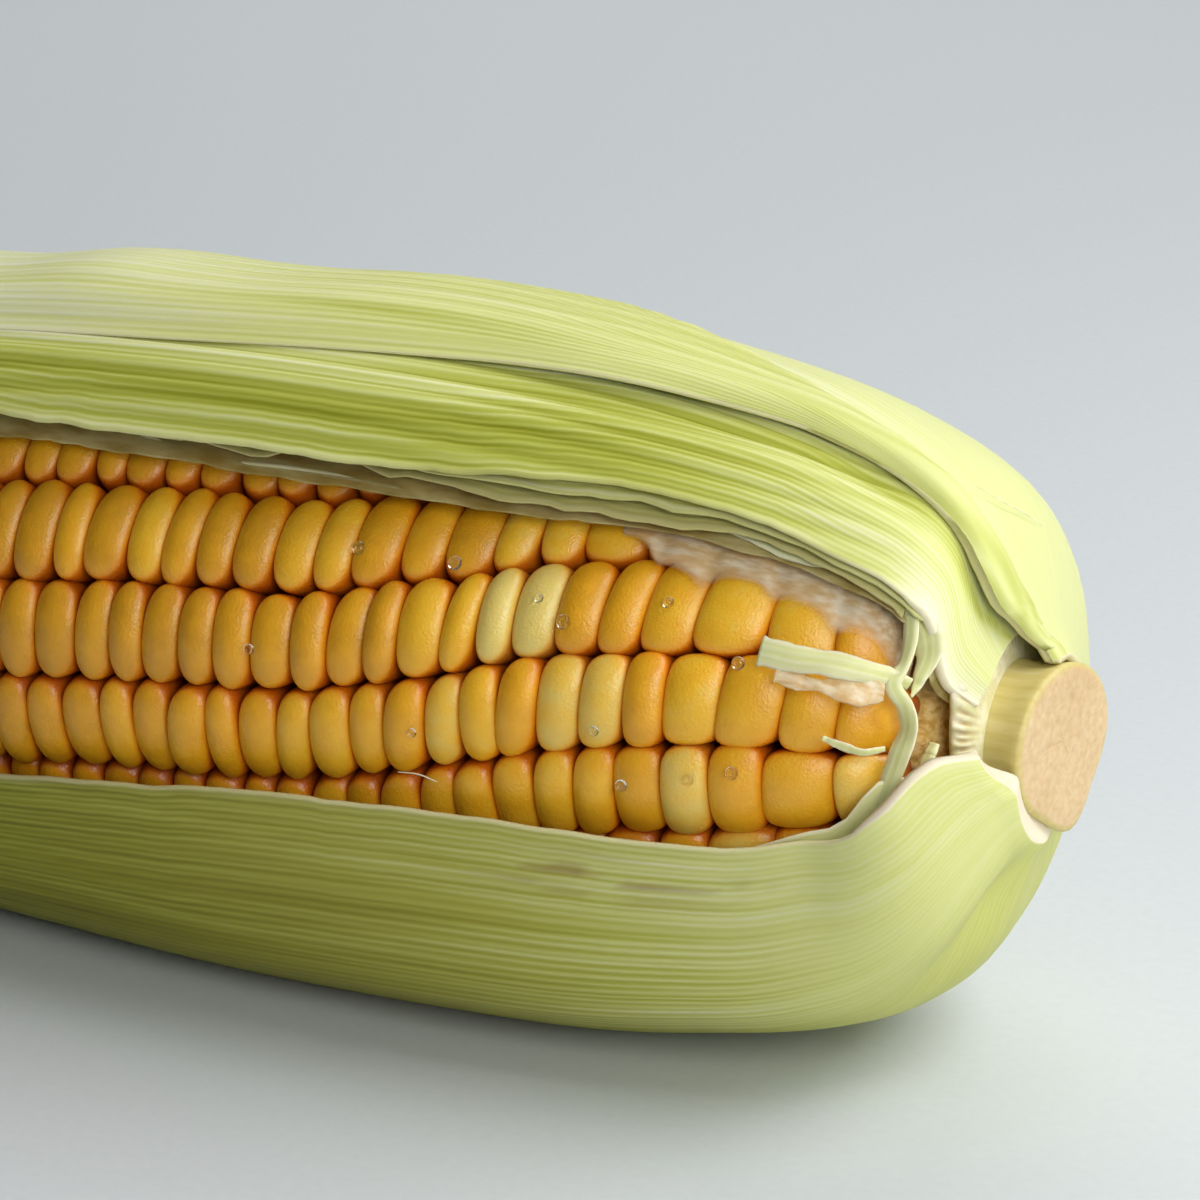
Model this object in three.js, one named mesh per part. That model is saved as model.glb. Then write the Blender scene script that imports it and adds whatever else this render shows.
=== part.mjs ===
// An ear of sweet corn lying on its side, with its husk torn open along the front.
// Millimetres, +Z up. +X runs along the ear towards its cut stem, -Y is the open side,
// and z = 0 is the surface that the ear lies on. The origin is on the ear's flat resting face,
// straight below the middle of its length.
import * as THREE from "three";
import { ParametricGeometry } from "three/addons/geometries/ParametricGeometry.js";

// ---- Driving dimensions ----
const AXIS_HEIGHT = 31; // the ear's axis above the surface
const ROWS = 16; // rows of kernels around the cob
const KERNELS = 49; // kernels in a row
const KERNELS_START_X = 109.5; // where the rows begin, at the stem end
const VALLEY = 1.9; // depth between two kernels of a row
const SHOULDER = 1.7; // how far a kernel drops at its two ends
const ROW_GAP = 0.34; // clearance between rows at the crowns
const ROW_GAP_AT_SEAT = 1.3; // and down where the kernels narrow to their seats
const SEAT_GAP = 0.6; // clearance between a row and the core
const STEM_RADIUS = 6.6;
const RING_RADIUS = 8; // the node ring, where the inner leaves tore off
const STEM_END_X = 118; // where the axis leaves the cut stem
const CUT_SLANT = 11; // degrees that the knife cut leans towards the open side
const STEM_START_X = 110;
const LEAF_STATIONS = 15; // steps along a whole leaf, from the stem to the tip
const TRIM_REACH = 0.4; // share of a leaf's length over which a trimmed end eases back
const FOOT_THICKNESS = 0.6; // of the lower leaf where the ear's weight presses it flat

const RAD = Math.PI / 180;
const root = new THREE.Group();

// ---- Materials: colours of fresh sweet corn ----
const material = (color, roughness) =>
  new THREE.MeshStandardMaterial({ color, roughness, metalness: 0 });
const kernelYellow = material(0xe3ab3e, 0.35);
const coreTan = material(0xb39045, 0.9);
const stemCream = material(0xd3c07c, 0.6);
const leafGreen = material(0xa3ac55, 0.55);
const leafPale = material(0xd2d795, 0.55);
const filmCream = material(0xdcc48c, 0.5);
const silkGold = material(0xc9a45c, 0.6);

// ---- Smooth lines ----

// A smooth function through [position, value] pairs, positions rising, with Catmull-Rom slopes.
function smoothLine(pairs) {
  const last = pairs.length - 1;
  const slope = (i) => {
    const a = pairs[Math.max(i - 1, 0)];
    const b = pairs[Math.min(i + 1, last)];
    return (b[1] - a[1]) / (b[0] - a[0]);
  };
  return (x) => {
    if (x <= pairs[0][0]) return pairs[0][1];
    if (x >= pairs[last][0]) return pairs[last][1];
    const i = pairs.findIndex((p) => p[0] > x) - 1;
    const [x0, y0] = pairs[i];
    const [x1, y1] = pairs[i + 1];
    const step = x1 - x0;
    const s = (x - x0) / step;
    const h = s * s * (3 - 2 * s);
    const rise = s * (1 - s) * ((1 - s) * slope(i) - s * slope(i + 1)) * step;
    return y0 + (y1 - y0) * h + rise;
  };
}

const smoothStep = (low, high, value) => THREE.MathUtils.smoothstep(value, low, high);
const mix = THREE.MathUtils.lerp;

// ---- The ear's shape: radii along the axis ----

// Radius over the kernels' crowns, and of the core that they stand on.
const crownRadius = smoothLine([
  [-82, 5], [-74, 11], [-60, 17.2], [-30, 22.4], [0, 24.3], [30, 24.5],
  [60, 23.6], [80, 22.6], [95, 21.3], [103, 19.6], [107, 17.6], [109.4, 14.8],
]);
const coreRadius = smoothLine([
  [-82, 1], [-74, 4.6], [-60, 8.6], [-30, 13], [0, 14.8], [30, 15],
  [60, 14.5], [80, 13.9], [95, 13], [105, 12], [109.4, 10.6],
]);

// The stations along the axis at which both the core's side and the rows' undersides bend.
const SEATS = [-74, -60, -42, -24, -6, 12, 30, 46, 58, 66, 74, 84, 95, 105];

// How far the rows have twisted round the axis, in degrees: the angle of the groove between the
// last row and the first.
const rowTwist = smoothLine([
  [-80, -14], [0, -9.5], [24, -5], [40, -0.5], [55, 2.8], [60, 6], [65, 9.4],
  [70, 12.9], [77, 19], [84, 23.2], [92, 27], [100, 29.6], [109, 30],
]);

// The kernels' spacing along the axis: they are fattest next to the stem.
const kernelPitch = smoothLine([
  [-84, 3.2], [-40, 3.5], [25, 3.7], [70, 3.7], [82, 3.9], [90, 4.6], [97, 5.6], [103, 5.5],
  [108, 4.5],
]);

// The husk lies between two profiles of [x, radius] points, from the stem to the tip: one just
// over the kernels and the butt, and one on the husk's outer face. Each leaf is a layer between
// them.
const profile = (list) => new THREE.SplineCurve(list.map(([x, r]) => new THREE.Vector2(x, r)));
const INSIDE = profile([
  [113, 7.1], [112, 9.6], [111, 13], [109.9, 16.4], [107.6, 18.8], [103, 20.6],
  [93, 22.2], [75, 23.6], [45, 24.9], [10, 25.1], [-30, 23.1], [-60, 18.2],
  [-80, 10.4], [-96, 6.4], [-110, 3.8], [-119, 2.2],
]);
const OUTSIDE = profile([
  [117.6, 7.2], [116.1, 9.6], [115, 13.6], [113.2, 18.4], [109.6, 22.8], [103.6, 26.2],
  [93, 29.4], [75, 32.4], [45, 33.4], [10, 31.6], [-30, 30.2], [-60, 26],
  [-82, 19.2], [-99, 12.6], [-112, 7.6], [-121, 3.8],
]);

// How much fuller the husk's outer face is below the axis than above it.
const belly = smoothLine([
  [-121, 0], [-60, 2], [-30, 3], [8, 2.4], [30, 1], [60, 0], [90, 1], [106, 1.6], [114, 0],
]);

// A point of the ear from the axial position x, the radius, and the angle round the axis:
// 0 faces the open side, 90 is the top.
function onEar(x, radius, degrees, target = new THREE.Vector3()) {
  const a = degrees * RAD;
  return target.set(x, -radius * Math.cos(a), AXIS_HEIGHT + radius * Math.sin(a));
}

// A point in the husk: t runs from the stem (0) to the tip (1), share from the kernels (0) to
// the outer face (1).
function inHusk(t, share, degrees, target) {
  const inner = INSIDE.getPoint(t);
  const outer = OUTSIDE.getPoint(t);
  outer.y -= (belly(outer.x) * Math.sin(degrees * RAD)) / 2;
  const at = inner.lerp(outer, share);
  return onEar(at.x, at.y, degrees, target);
}

// The station at which a layer of the husk passes axial position x, found by halving.
function stationAt(x, share) {
  let low = 0;
  let high = LEAF_STATIONS;
  for (let i = 0; i < 30; i++) {
    const middle = (low + high) / 2;
    const t = middle / LEAF_STATIONS;
    if (mix(INSIDE.getPoint(t).x, OUTSIDE.getPoint(t).x, share) > x) low = middle;
    else high = middle;
  }
  return (low + high) / 2;
}

function add(name, geometry, look) {
  const mesh = new THREE.Mesh(geometry, look);
  mesh.name = name;
  root.add(mesh);
}

// ---- Solids of revolution about the ear's axis ----

// LatheGeometry turns about Y, so the profile's [x, radius] points are laid down onto the X axis.
function turned(points, segments) {
  const side = points.map(([x, r]) => new THREE.Vector2(r, x));
  return new THREE.LatheGeometry(side, segments)
    .rotateZ(-Math.PI / 2)
    .translate(0, 0, AXIS_HEIGHT);
}

function core() {
  const side = [-82, ...SEATS, 109].map((x) => [x, coreRadius(x)]);
  const butt = [[109.7, 9.2], [109.7, 0]];
  return turned([[-83.5, 0], ...side, ...butt], 32);
}

// The stem stub: a neck at the cob's butt, the node ring, and the stub itself, which ends in a
// slanting knife cut.
function stem() {
  const geometry = turned(
    [
      [STEM_START_X, 0], [STEM_START_X, 7], [111.2, 7.1], [111.5, RING_RADIUS],
      [112.2, RING_RADIUS], [112.4, STEM_RADIUS], [STEM_END_X - 2, STEM_RADIUS],
      [STEM_END_X, STEM_RADIUS], [STEM_END_X, 0],
    ],
    28,
  );
  const position = geometry.getAttribute("position");
  const slope = Math.tan(CUT_SLANT * RAD);
  for (let i = 0; i < position.count; i++) {
    if (position.getX(i) < STEM_END_X - 0.01) continue;
    position.setX(i, STEM_END_X + position.getY(i) * slope);
  }
  return geometry;
}

// ---- Kernels ----

// Axial positions half a kernel apart, from the stem to the tip.
const kernelSteps = [KERNELS_START_X];
while (kernelSteps.length < 2 * KERNELS + 2) {
  kernelSteps.push(kernelSteps.at(-1) - kernelPitch(kernelSteps.at(-1)) / 2);
}

// Joins two lines of points, both running the same way along x, with a strip of triangles. The
// lines may have different counts of points: each triangle steps along the line that is behind.
function strip(index, points, left, right) {
  const x = (line, i) => (i < line.length ? points[line[i]].x : -Infinity);
  let i = 0;
  let j = 0;
  while (i + j < left.length + right.length - 2) {
    const stepLeft = j === right.length - 1 || x(left, i + 1) > x(right, j + 1);
    index.push(left[i], right[j], stepLeft ? left[++i] : right[++j]);
  }
}

// One row of kernels, from the stem to the tip, as five lines of points: the scalloped line over
// the crowns, a shoulder line on each side of it, and two seat lines down by the core.
function kernelRow(number) {
  const shift = (number + 1) % 2; // neighbouring rows sit half a kernel apart
  const middle = (360 / ROWS) * (number + 0.5);
  const points = [];
  const line = (stations, radiusAt, side, gap) =>
    stations.map((x, i) => {
      const radius = radiusAt(x, i);
      const half = side * (180 / ROWS - gap / 2 / radius / RAD);
      return points.push(onEar(x, radius, middle + rowTwist(x) + half)) - 1;
    });
  const halfSteps = kernelSteps.slice(shift, shift + 2 * KERNELS + 1);
  const first = halfSteps[0];
  const last = halfSteps.at(-1);
  const centres = halfSteps.filter((x, i) => i % 2 === 1 || x === first || x === last);
  const seats = [first, ...SEATS.filter((x) => x < first - 2 && x > last + 2).reverse(), last];
  const crown = line(halfSteps, (x, i) => crownRadius(x) - (i % 2 ? 0 : VALLEY), 0, 0);
  const [low, high] = [-1, 1].map((side) => ({
    shoulder: line(centres, (x) => crownRadius(x) - SHOULDER, side, ROW_GAP),
    seat: line(seats, (x) => coreRadius(x) + SEAT_GAP, side, ROW_GAP_AT_SEAT),
  }));
  const index = [];
  const round = [low.seat, low.shoulder, crown, high.shoulder, high.seat, low.seat];
  round.slice(1).forEach((next, i) => strip(index, points, round[i], next));
  for (const [end, a, b] of [[0, 1, 0], [-1, 0, 1]]) {
    for (let i = 1; i < 4; i++) {
      const corner = [round[i + a].at(end), round[i + b].at(end)];
      index.push(round[0].at(end), ...corner);
    }
  }
  return new THREE.BufferGeometry().setFromPoints(points).setIndex(index);
}

// ---- Husk leaves ----

// A leaf is a curved sheet in the husk: share and thin give its layer and half thickness, as
// shares of the husk's thickness; start and end are its two margins, as functions of x; near and
// far are its first and last stations. lift(x, degrees) may move its layer, trim(degrees) cuts its
// near end back, and a pressed leaf is flat where it meets the surface. It is a flattened tube
// whose two ends close to an edge.
function leaf({ share, thin = 0.05, start, end, near = 0, far = LEAF_STATIONS, across, ...more }) {
  const { lift, trim, pressed, along = Math.round(far - near) } = more;
  const loop = 2 * across + 2;
  const surface = (u, v, target) => {
    const step = Math.round((1 - v) * loop) % loop;
    const outerFace = step <= across;
    const w = (outerFace ? step : loop - 1 - step) / across;
    const x = OUTSIDE.getPoint(mix(near, far, u) / LEAF_STATIONS).x;
    const degrees = mix(start(x), end(x), w);
    const cut = trim ? trim(degrees) * Math.max(0, 1 - u / TRIM_REACH) : 0;
    const closed = u < 1e-6 || u > 1 - 1e-6;
    const side = closed ? 0 : outerFace ? thin : -thin;
    const layer = share + side + (lift ? lift(x, degrees) : 0);
    inHusk((mix(near, far, u) + cut) / LEAF_STATIONS, layer, degrees, target);
    if (pressed) target.z = Math.max(target.z, outerFace ? 0 : FOOT_THICKNESS);
  };
  return new ParametricGeometry(surface, along, loop);
}

// Margins of the leaves, in degrees round the axis against x. The husk's opening lies between
// the upper leaves' margins and the front lower leaf's.
const upperMargin = smoothLine([
  [-121, 24], [-112, 26], [-98, 34], [-80, 42], [-50, 48], [0, 50], [65, 51],
  [80, 53.5], [96, 54.5], [103, 51], [109, 46], [113, 42], [117, 40],
]);
const lowerMargin = smoothLine([
  [-121, -4], [-112, -8], [-98, -20], [-80, -32], [-40, -36], [0, -31], [25, -23.7], [47, -17.5],
  [70, -14], [97, -14.6], [104, -11.5], [108, -9], [110.5, -5], [113, 1], [115.4, 10],
]);
const grooveMargin = smoothLine([
  [-121, 40], [-98, 52], [-60, 60], [0, 63], [35, 66.5], [60, 69], [88, 73], [97, 72],
  [103, 68], [109, 63], [112.6, 60], [115, 60], [117.6, 64],
]);
const topLeafEdge = smoothLine([
  [-121, 90], [-60, 112], [0, 120], [60, 113], [80, 99], [93, 90], [99.5, 86], [104.6, 79],
  [109.2, 73], [112, 70], [115, 67], [117.6, 70],
]);
const shifted = (line, by) => (x) => line(x) + by;
const fixed = (degrees) => () => degrees;

// Upper leaves sink towards the kernels at their margin.
const hugging = (margin, amount, reach) => (x, degrees) =>
  -amount * (1 - smoothStep(0, reach, degrees - margin(x)));

function upperLeaves() {
  add("outer_top_leaf", leaf({
    share: 0.955, thin: 0.04, start: grooveMargin, end: topLeafEdge, across: 5,
  }), leafPale);
  add("outer_side_leaf", leaf({
    share: 0.83, thin: 0.04, start: shifted(topLeafEdge, -6), end: fixed(226), across: 13,
  }), leafPale);
  add("upper_leaf_ribbed", leaf({
    share: 0.7, thin: 0.04, start: upperMargin, end: fixed(132), across: 8,
    lift: hugging(upperMargin, 0.18, 14),
  }), leafGreen);
  const middle = shifted(upperMargin, -2.5);
  add("upper_leaf_middle", leaf({
    share: 0.48, start: middle, end: fixed(178), far: 14, across: 10,
    lift: hugging(middle, 0.12, 14),
  }), leafGreen);
  const inner = shifted(upperMargin, -4.5);
  add("upper_leaf_inner", leaf({
    share: 0.27, start: inner, end: fixed(205), far: 13, across: 11,
    lift: hugging(inner, 0.06, 14),
  }), leafPale);
  add("husk_membrane", leaf({
    share: 0.07, thin: 0.035, start: shifted(upperMargin, -5), end: fixed(150), near: 1, far: 13,
    across: 8,
  }), filmCream);
}

function backLeaf() {
  add("back_leaf", leaf({
    share: 0.7, thin: 0.04, start: fixed(140), end: fixed(246), far: 14, across: 10,
  }), leafGreen);
}

// The front lower leaf wraps under the ear and bears its weight. It leaves the stem below, and
// its near end runs free across the front. Towards its margin it sinks against the kernels.
function lowerLeaves() {
  const margin = (x) => lowerMargin(x) + 360;
  add("front_lower_leaf", leaf({
    share: 0.945, start: fixed(214), end: margin, across: 16, pressed: true,
    lift: (x, degrees) =>
      -0.7 * (1 - smoothStep(104, 113, x)) * (1 - smoothStep(0, 42, margin(x) - degrees)),
    trim: (degrees) => 1.7 * smoothStep(338, 370, degrees),
  }), leafGreen);
  add("lower_leaf_middle", leaf({
    share: 0.46, start: fixed(212), end: shifted(margin, -30), far: 13, across: 8,
  }), leafPale);
  const inner = smoothLine([[-60, 326], [70, 338], [97, 343], [104, 349], [108, 352], [111, 362]]);
  add("lower_leaf_inner", leaf({
    share: 0.085, thin: 0.04, start: fixed(209), end: inner, near: 1, far: 13, across: 11,
  }), leafPale);
}

// ---- Torn remains at the stem end ----

// A scrap of leaf between two axial positions.
function scrap(name, look, { share, from, to, ...shape }) {
  const near = stationAt(from, share);
  const far = stationAt(to, share);
  add(name, leaf({ share, near, far, across: 2, along: 5, ...shape }), look);
}

function tornPieces() {
  const filmLow = smoothLine([[88, 42.5], [97, 40], [101, 38], [106, 34.5], [109, 31]]);
  const filmHigh = smoothLine([[88, 45], [97, 45], [104, 43], [109, 37]]);
  scrap("kernel_film", filmCream, {
    share: 0.025, thin: 0.018, from: 108.4, to: 88, start: filmLow, end: filmHigh, along: 8,
  });
  scrap("torn_strip", filmCream, {
    share: 0.14, thin: 0.03, from: 110.6, to: 99.3, start: fixed(24.6), end: fixed(30.6),
  });
  scrap("torn_base_band", leafPale, {
    share: 0.3, from: 112.1, to: 109.9, start: fixed(11), end: fixed(37), across: 6, along: 4,
  });
  scrap("torn_tooth", leafPale, {
    share: 0.55, from: 114.2, to: 111.6, start: fixed(27), end: fixed(36),
  });
}

// ---- Silk ----

// The tuft of silk, gathered where it leaves the leaf tips, and drooping past them.
function silk() {
  const line = new THREE.CatmullRomCurve3([
    onEar(-84.5, 0, 0),
    onEar(-100, 0, 0),
    onEar(-113, 0, 0),
    onEar(-122, 0.5, -90),
    onEar(-130, 4, -80),
    onEar(-137, 10, -80),
  ]);
  const radius = smoothLine([[0, 1], [0.5, 1.4], [0.7, 1.3], [0.85, 2.6], [0.95, 2.6], [1, 1.6]]);
  const sides = 8;
  const surface = (u, v, target) => {
    const centre = line.getPoint(u);
    const across = new THREE.Vector3(0, 1, 0);
    const up = line.getTangent(u).cross(across).normalize();
    const a = -2 * Math.PI * v;
    const r = u < 1e-6 || u > 1 - 1e-6 ? 0 : radius(u);
    target.copy(centre).addScaledVector(across, r * Math.cos(a)).addScaledVector(up, r * Math.sin(a));
  };
  return new ParametricGeometry(surface, 12, sides);
}

// ---- The ear ----

add("cob_core", core(), coreTan);
add("stem", stem(), stemCream);
for (let number = 0; number < ROWS; number++) {
  add(`kernel_row_${String(number + 1).padStart(2, "0")}`, kernelRow(number), kernelYellow);
}
upperLeaves();
backLeaf();
lowerLeaves();
tornPieces();
add("silk_tuft", silk(), silkGold);

export default root;
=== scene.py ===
# %% [markdown]
# # A fresh ear of sweet corn
# The real thing is an ear lying on its side, with the husk torn open along the front. Nature builds
# it in layers: a chaffy cob, sixteen rows of kernels on it, and husk leaves wrapped round those. The
# lesson builds it in the same order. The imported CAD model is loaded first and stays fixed: it says
# where everything is, and each piece made here stands for one of its nodes.

# %% Load the fixed frame
import math

import bpy
import numpy as np
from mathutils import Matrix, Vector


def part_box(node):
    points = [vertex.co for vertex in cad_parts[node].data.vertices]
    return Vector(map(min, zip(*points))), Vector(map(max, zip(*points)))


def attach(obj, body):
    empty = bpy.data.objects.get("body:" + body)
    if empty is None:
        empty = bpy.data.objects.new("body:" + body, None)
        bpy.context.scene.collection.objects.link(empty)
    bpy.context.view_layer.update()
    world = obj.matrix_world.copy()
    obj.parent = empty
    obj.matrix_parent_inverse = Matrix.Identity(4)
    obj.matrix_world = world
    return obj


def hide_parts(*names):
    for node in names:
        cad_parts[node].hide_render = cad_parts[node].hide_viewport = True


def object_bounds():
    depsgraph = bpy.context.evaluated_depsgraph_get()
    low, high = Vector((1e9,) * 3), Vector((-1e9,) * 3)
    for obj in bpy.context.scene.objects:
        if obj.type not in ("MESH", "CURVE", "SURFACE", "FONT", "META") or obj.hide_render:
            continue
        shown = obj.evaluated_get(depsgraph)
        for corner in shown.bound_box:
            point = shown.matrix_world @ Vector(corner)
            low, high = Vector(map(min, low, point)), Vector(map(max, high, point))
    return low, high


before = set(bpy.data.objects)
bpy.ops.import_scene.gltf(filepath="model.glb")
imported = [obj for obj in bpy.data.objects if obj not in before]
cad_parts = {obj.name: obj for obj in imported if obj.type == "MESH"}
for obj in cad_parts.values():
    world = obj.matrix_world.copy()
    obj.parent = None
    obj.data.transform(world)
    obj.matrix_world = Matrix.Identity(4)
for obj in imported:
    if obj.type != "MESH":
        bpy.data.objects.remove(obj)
cad_low, cad_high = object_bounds()
core_low, core_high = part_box("cob_core")
AXIS_HEIGHT = (core_low.z + core_high.z) * 500
print("The frame has", len(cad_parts), "nodes")
print("CAD box (m):", tuple(round(v, 4) for v in cad_low), tuple(round(v, 4) for v in cad_high))
print("The ear's axis is", round(AXIS_HEIGHT, 2), "mm above the surface")

# %% [markdown]
# ## The camera
# The camera comes first, so that every later choice of detail can be checked in the view. It stands
# a little towards the stem end and above the ear, where someone at a table would look from, with a
# long lens that keeps the shapes true. The view is aimed at the part of the ear nearest the stem, and
# the tip runs out of the frame.

# %% Camera
VIEW_AZIMUTH = math.radians(28)
VIEW_HEIGHT = math.radians(17.5)
VIEW_ANGLE = math.radians(17)
VIEW_DISTANCE = 0.358
towards_camera = np.array([
    math.sin(VIEW_AZIMUTH) * math.cos(VIEW_HEIGHT),
    -math.cos(VIEW_AZIMUTH) * math.cos(VIEW_HEIGHT),
    math.sin(VIEW_HEIGHT),
])
aim = np.array([cad_high.x - 0.0457, 0.0, AXIS_HEIGHT / 1000 + 0.006])
camera_data = bpy.data.cameras.new("camera")
camera_data.sensor_width = 36
camera_data.lens = 18 / math.tan(VIEW_ANGLE / 2)
camera_data.clip_start = 0.01
camera = bpy.data.objects.new("camera", camera_data)
bpy.context.scene.collection.objects.link(camera)
camera.location = aim + towards_camera * VIEW_DISTANCE
camera.rotation_euler = (math.pi / 2 - VIEW_HEIGHT, 0, VIEW_AZIMUTH)
bpy.context.scene.camera = camera
print("Lens", round(camera_data.lens, 1), "mm, camera at", np.round(camera.location, 3))

# %% [markdown]
# ## Smooth lines and noise
# Everything that grows is drawn with smooth lines through a few measured pairs: a radius against the
# place along the ear, or the angle at which a leaf ends. Noise comes from a small lattice of random
# numbers with a fixed seed, read with smooth steps between them, so each run gives the same ear.

# %% Smooth lines and lattice noise
def smooth_line(pairs):
    """A smooth function of x through [x, value] pairs: between two of them it is the cubic whose
    slope at each pair is that of the line joining its two neighbours."""
    xs, ys = np.array(pairs, float).T
    ahead = np.r_[1:len(xs), len(xs) - 1]
    behind = np.r_[0, 0:len(xs) - 1]
    slope = (ys[ahead] - ys[behind]) / (xs[ahead] - xs[behind])

    def value(x):
        x = np.clip(x, xs[0], xs[-1])
        i = np.clip(np.searchsorted(xs, x, side="right") - 1, 0, len(xs) - 2)
        step = xs[i + 1] - xs[i]
        s = (x - xs[i]) / step
        rise = s * (1 - s) * ((1 - s) * slope[i] - s * slope[i + 1]) * step
        return ys[i] + (ys[i + 1] - ys[i]) * s * s * (3 - 2 * s) + rise

    return value


def smooth_step(low, high, value):
    """0 below low, 1 above high, and between them 3s^2 - 2s^3 of the share s of the way."""
    s = np.clip((value - low) / (high - low), 0, 1)
    return s * s * (3 - 2 * s)


def bump_at(centre, reach, value):
    """A smooth bump: e to the power of minus the squared distance from centre, in reaches."""
    return np.exp(-(((value - centre) / reach) ** 2))


def noise(a, b, seed):
    """Lattice noise from 0 to 1: random numbers at whole a and b, and 3s^2 - 2s^3 between them."""
    lattice = np.random.default_rng(seed).random((128, 128))
    a, b = np.broadcast_arrays(np.asarray(a, float), np.asarray(b, float))
    i = np.floor(a).astype(int)
    j = np.floor(b).astype(int)
    u = smooth_step(0, 1, a - i)
    v = smooth_step(0, 1, b - j)
    low = lattice[i % 128, j % 128] * (1 - u) + lattice[(i + 1) % 128, j % 128] * u
    high = lattice[i % 128, (j + 1) % 128] * (1 - u) + lattice[(i + 1) % 128, (j + 1) % 128] * u
    return low * (1 - v) + high * v


sample = noise(np.arange(0, 60, 0.1), 0.5, 1)
print("Noise runs from", round(sample.min(), 2), "to", round(sample.max(), 2))

# %% [markdown]
# ## The ear's radii
# All shapes are given in millimetres round the ear's axis: x along the ear towards the stem, a
# radius, and an angle where 0 faces the open side and 90 is the top. Four smooth lines describe the
# ear: how far the kernels' crowns and the cob's core reach out, how the rows of kernels wind round
# the cob, and how much fuller the husk hangs below than above.

# %% Radii, twist and belly
def on_ear(x, radius, degrees):
    """Points (x, -radius cos a, axis height + radius sin a) in millimetres."""
    a = np.radians(degrees)
    x, radius, a = np.broadcast_arrays(x, radius, a)
    return np.stack([x, -radius * np.cos(a), AXIS_HEIGHT + radius * np.sin(a)], -1)


crown_radius = smooth_line([
    [-82, 5], [-74, 11], [-60, 17.2], [-30, 22.4], [0, 24.3], [30, 24.5],
    [60, 23.6], [80, 22.6], [95, 21.3], [103, 19.6], [107, 17.6], [109.4, 14.8],
])
core_radius = smooth_line([
    [-82, 1], [-74, 4.6], [-60, 8.6], [-30, 13], [0, 14.8], [30, 15],
    [60, 14.5], [80, 13.9], [95, 13], [105, 12], [109.4, 10.6],
])
row_twist = smooth_line([
    [-80, -14], [0, -9.5], [24, -5], [40, -0.5], [55, 2.8], [60, 6], [65, 9.4],
    [70, 12.9], [77, 19], [84, 23.2], [92, 27], [100, 29.6], [109, 30],
])
belly = smooth_line([
    [-121, 0], [-60, 2], [-30, 3], [8, 2.4], [30, 1], [60, 0], [90, 1], [106, 1.6], [114, 0],
])
print("Over the kernels the ear is", round(2 * float(crown_radius(30)), 1), "mm across")

# %% [markdown]
# ## The husk between two profiles
# The husk is a stack of leaves, and no leaf may cut through another. So the stack is drawn once, as
# an inner profile just over the kernels and an outer one, and each leaf is a layer at a given share
# of the way between them. The profiles are splines through points of (x, radius) from the stem, over
# the shoulder and along the ear to the tip, so they can turn back on themselves at the shoulder.

# %% The two husk profiles
def profile(points):
    """A Catmull-Rom spline through the points, in equal shares of t from 0 to 1."""
    p = np.array(points, float)
    slope = (np.vstack([p[1:], p[-1:]]) - np.vstack([p[:1], p[:-1]])) / 2

    def at(t):
        k = np.clip(t, 0, 1) * (len(p) - 1)
        i = np.minimum(np.floor(k).astype(int), len(p) - 2)
        s = (k - i)[..., None]
        start = (2 * s**3 - 3 * s**2 + 1) * p[i] + (s**3 - 2 * s**2 + s) * slope[i]
        return start + (3 * s**2 - 2 * s**3) * p[i + 1] + (s**3 - s**2) * slope[i + 1]

    return at


husk_inside = profile([
    [113, 7.1], [112, 9.6], [111, 13], [109.9, 16.4], [107.6, 18.8], [103, 20.6],
    [93, 22.2], [75, 23.6], [45, 24.9], [10, 25.1], [-30, 23.1], [-60, 18.2],
    [-80, 10.4], [-96, 6.4], [-110, 3.8], [-119, 2.2],
])
husk_outside = profile([
    [117.6, 7.2], [116.1, 9.6], [115, 13.6], [113.2, 18.4], [109.6, 22.8], [103.6, 26.2],
    [93, 29.4], [75, 32.4], [45, 33.4], [10, 31.6], [-30, 30.2], [-60, 26],
    [-82, 19.2], [-99, 12.6], [-112, 7.6], [-121, 3.8],
])
STATIONS = 15  # steps from one point of a profile to the next


def distance_along(path):
    """How far along a path each of its points lies, from 0."""
    return np.r_[0, np.cumsum(np.linalg.norm(np.diff(path, axis=0), axis=1))]


table_t = np.linspace(0, 1, 3001)
table_length = distance_along(husk_outside(table_t))
print("The husk is", round(table_length[-1], 1), "mm long over its outer face")


def in_husk(t, share, degrees):
    """The point at station share t and layer share: a straight mix of the two profiles, with the
    outer one made fuller below by belly(x) sin(angle) / 2."""
    inner = husk_inside(t)
    outer = husk_outside(t)
    fuller = belly(outer[..., 0]) * np.sin(np.radians(degrees)) / 2
    x = inner[..., 0] * (1 - share) + outer[..., 0] * share
    radius = inner[..., 1] * (1 - share) + (outer[..., 1] - fuller) * share
    return on_ear(x, radius, degrees)


middle_of_husk = in_husk(np.array(0.5), 0.5, 90)
print("Halfway along, the middle layer is", round(float(middle_of_husk[2]), 1), "mm high at the top")

# %% [markdown]
# ## Margins of the leaves
# Each husk leaf ends at two margins, given as the angle against the place along the ear. The opening
# lies between the upper leaves' margins and the front lower leaf's. Near the stem the margins swing
# round the shoulder, so their pairs lie closer together there.

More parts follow.
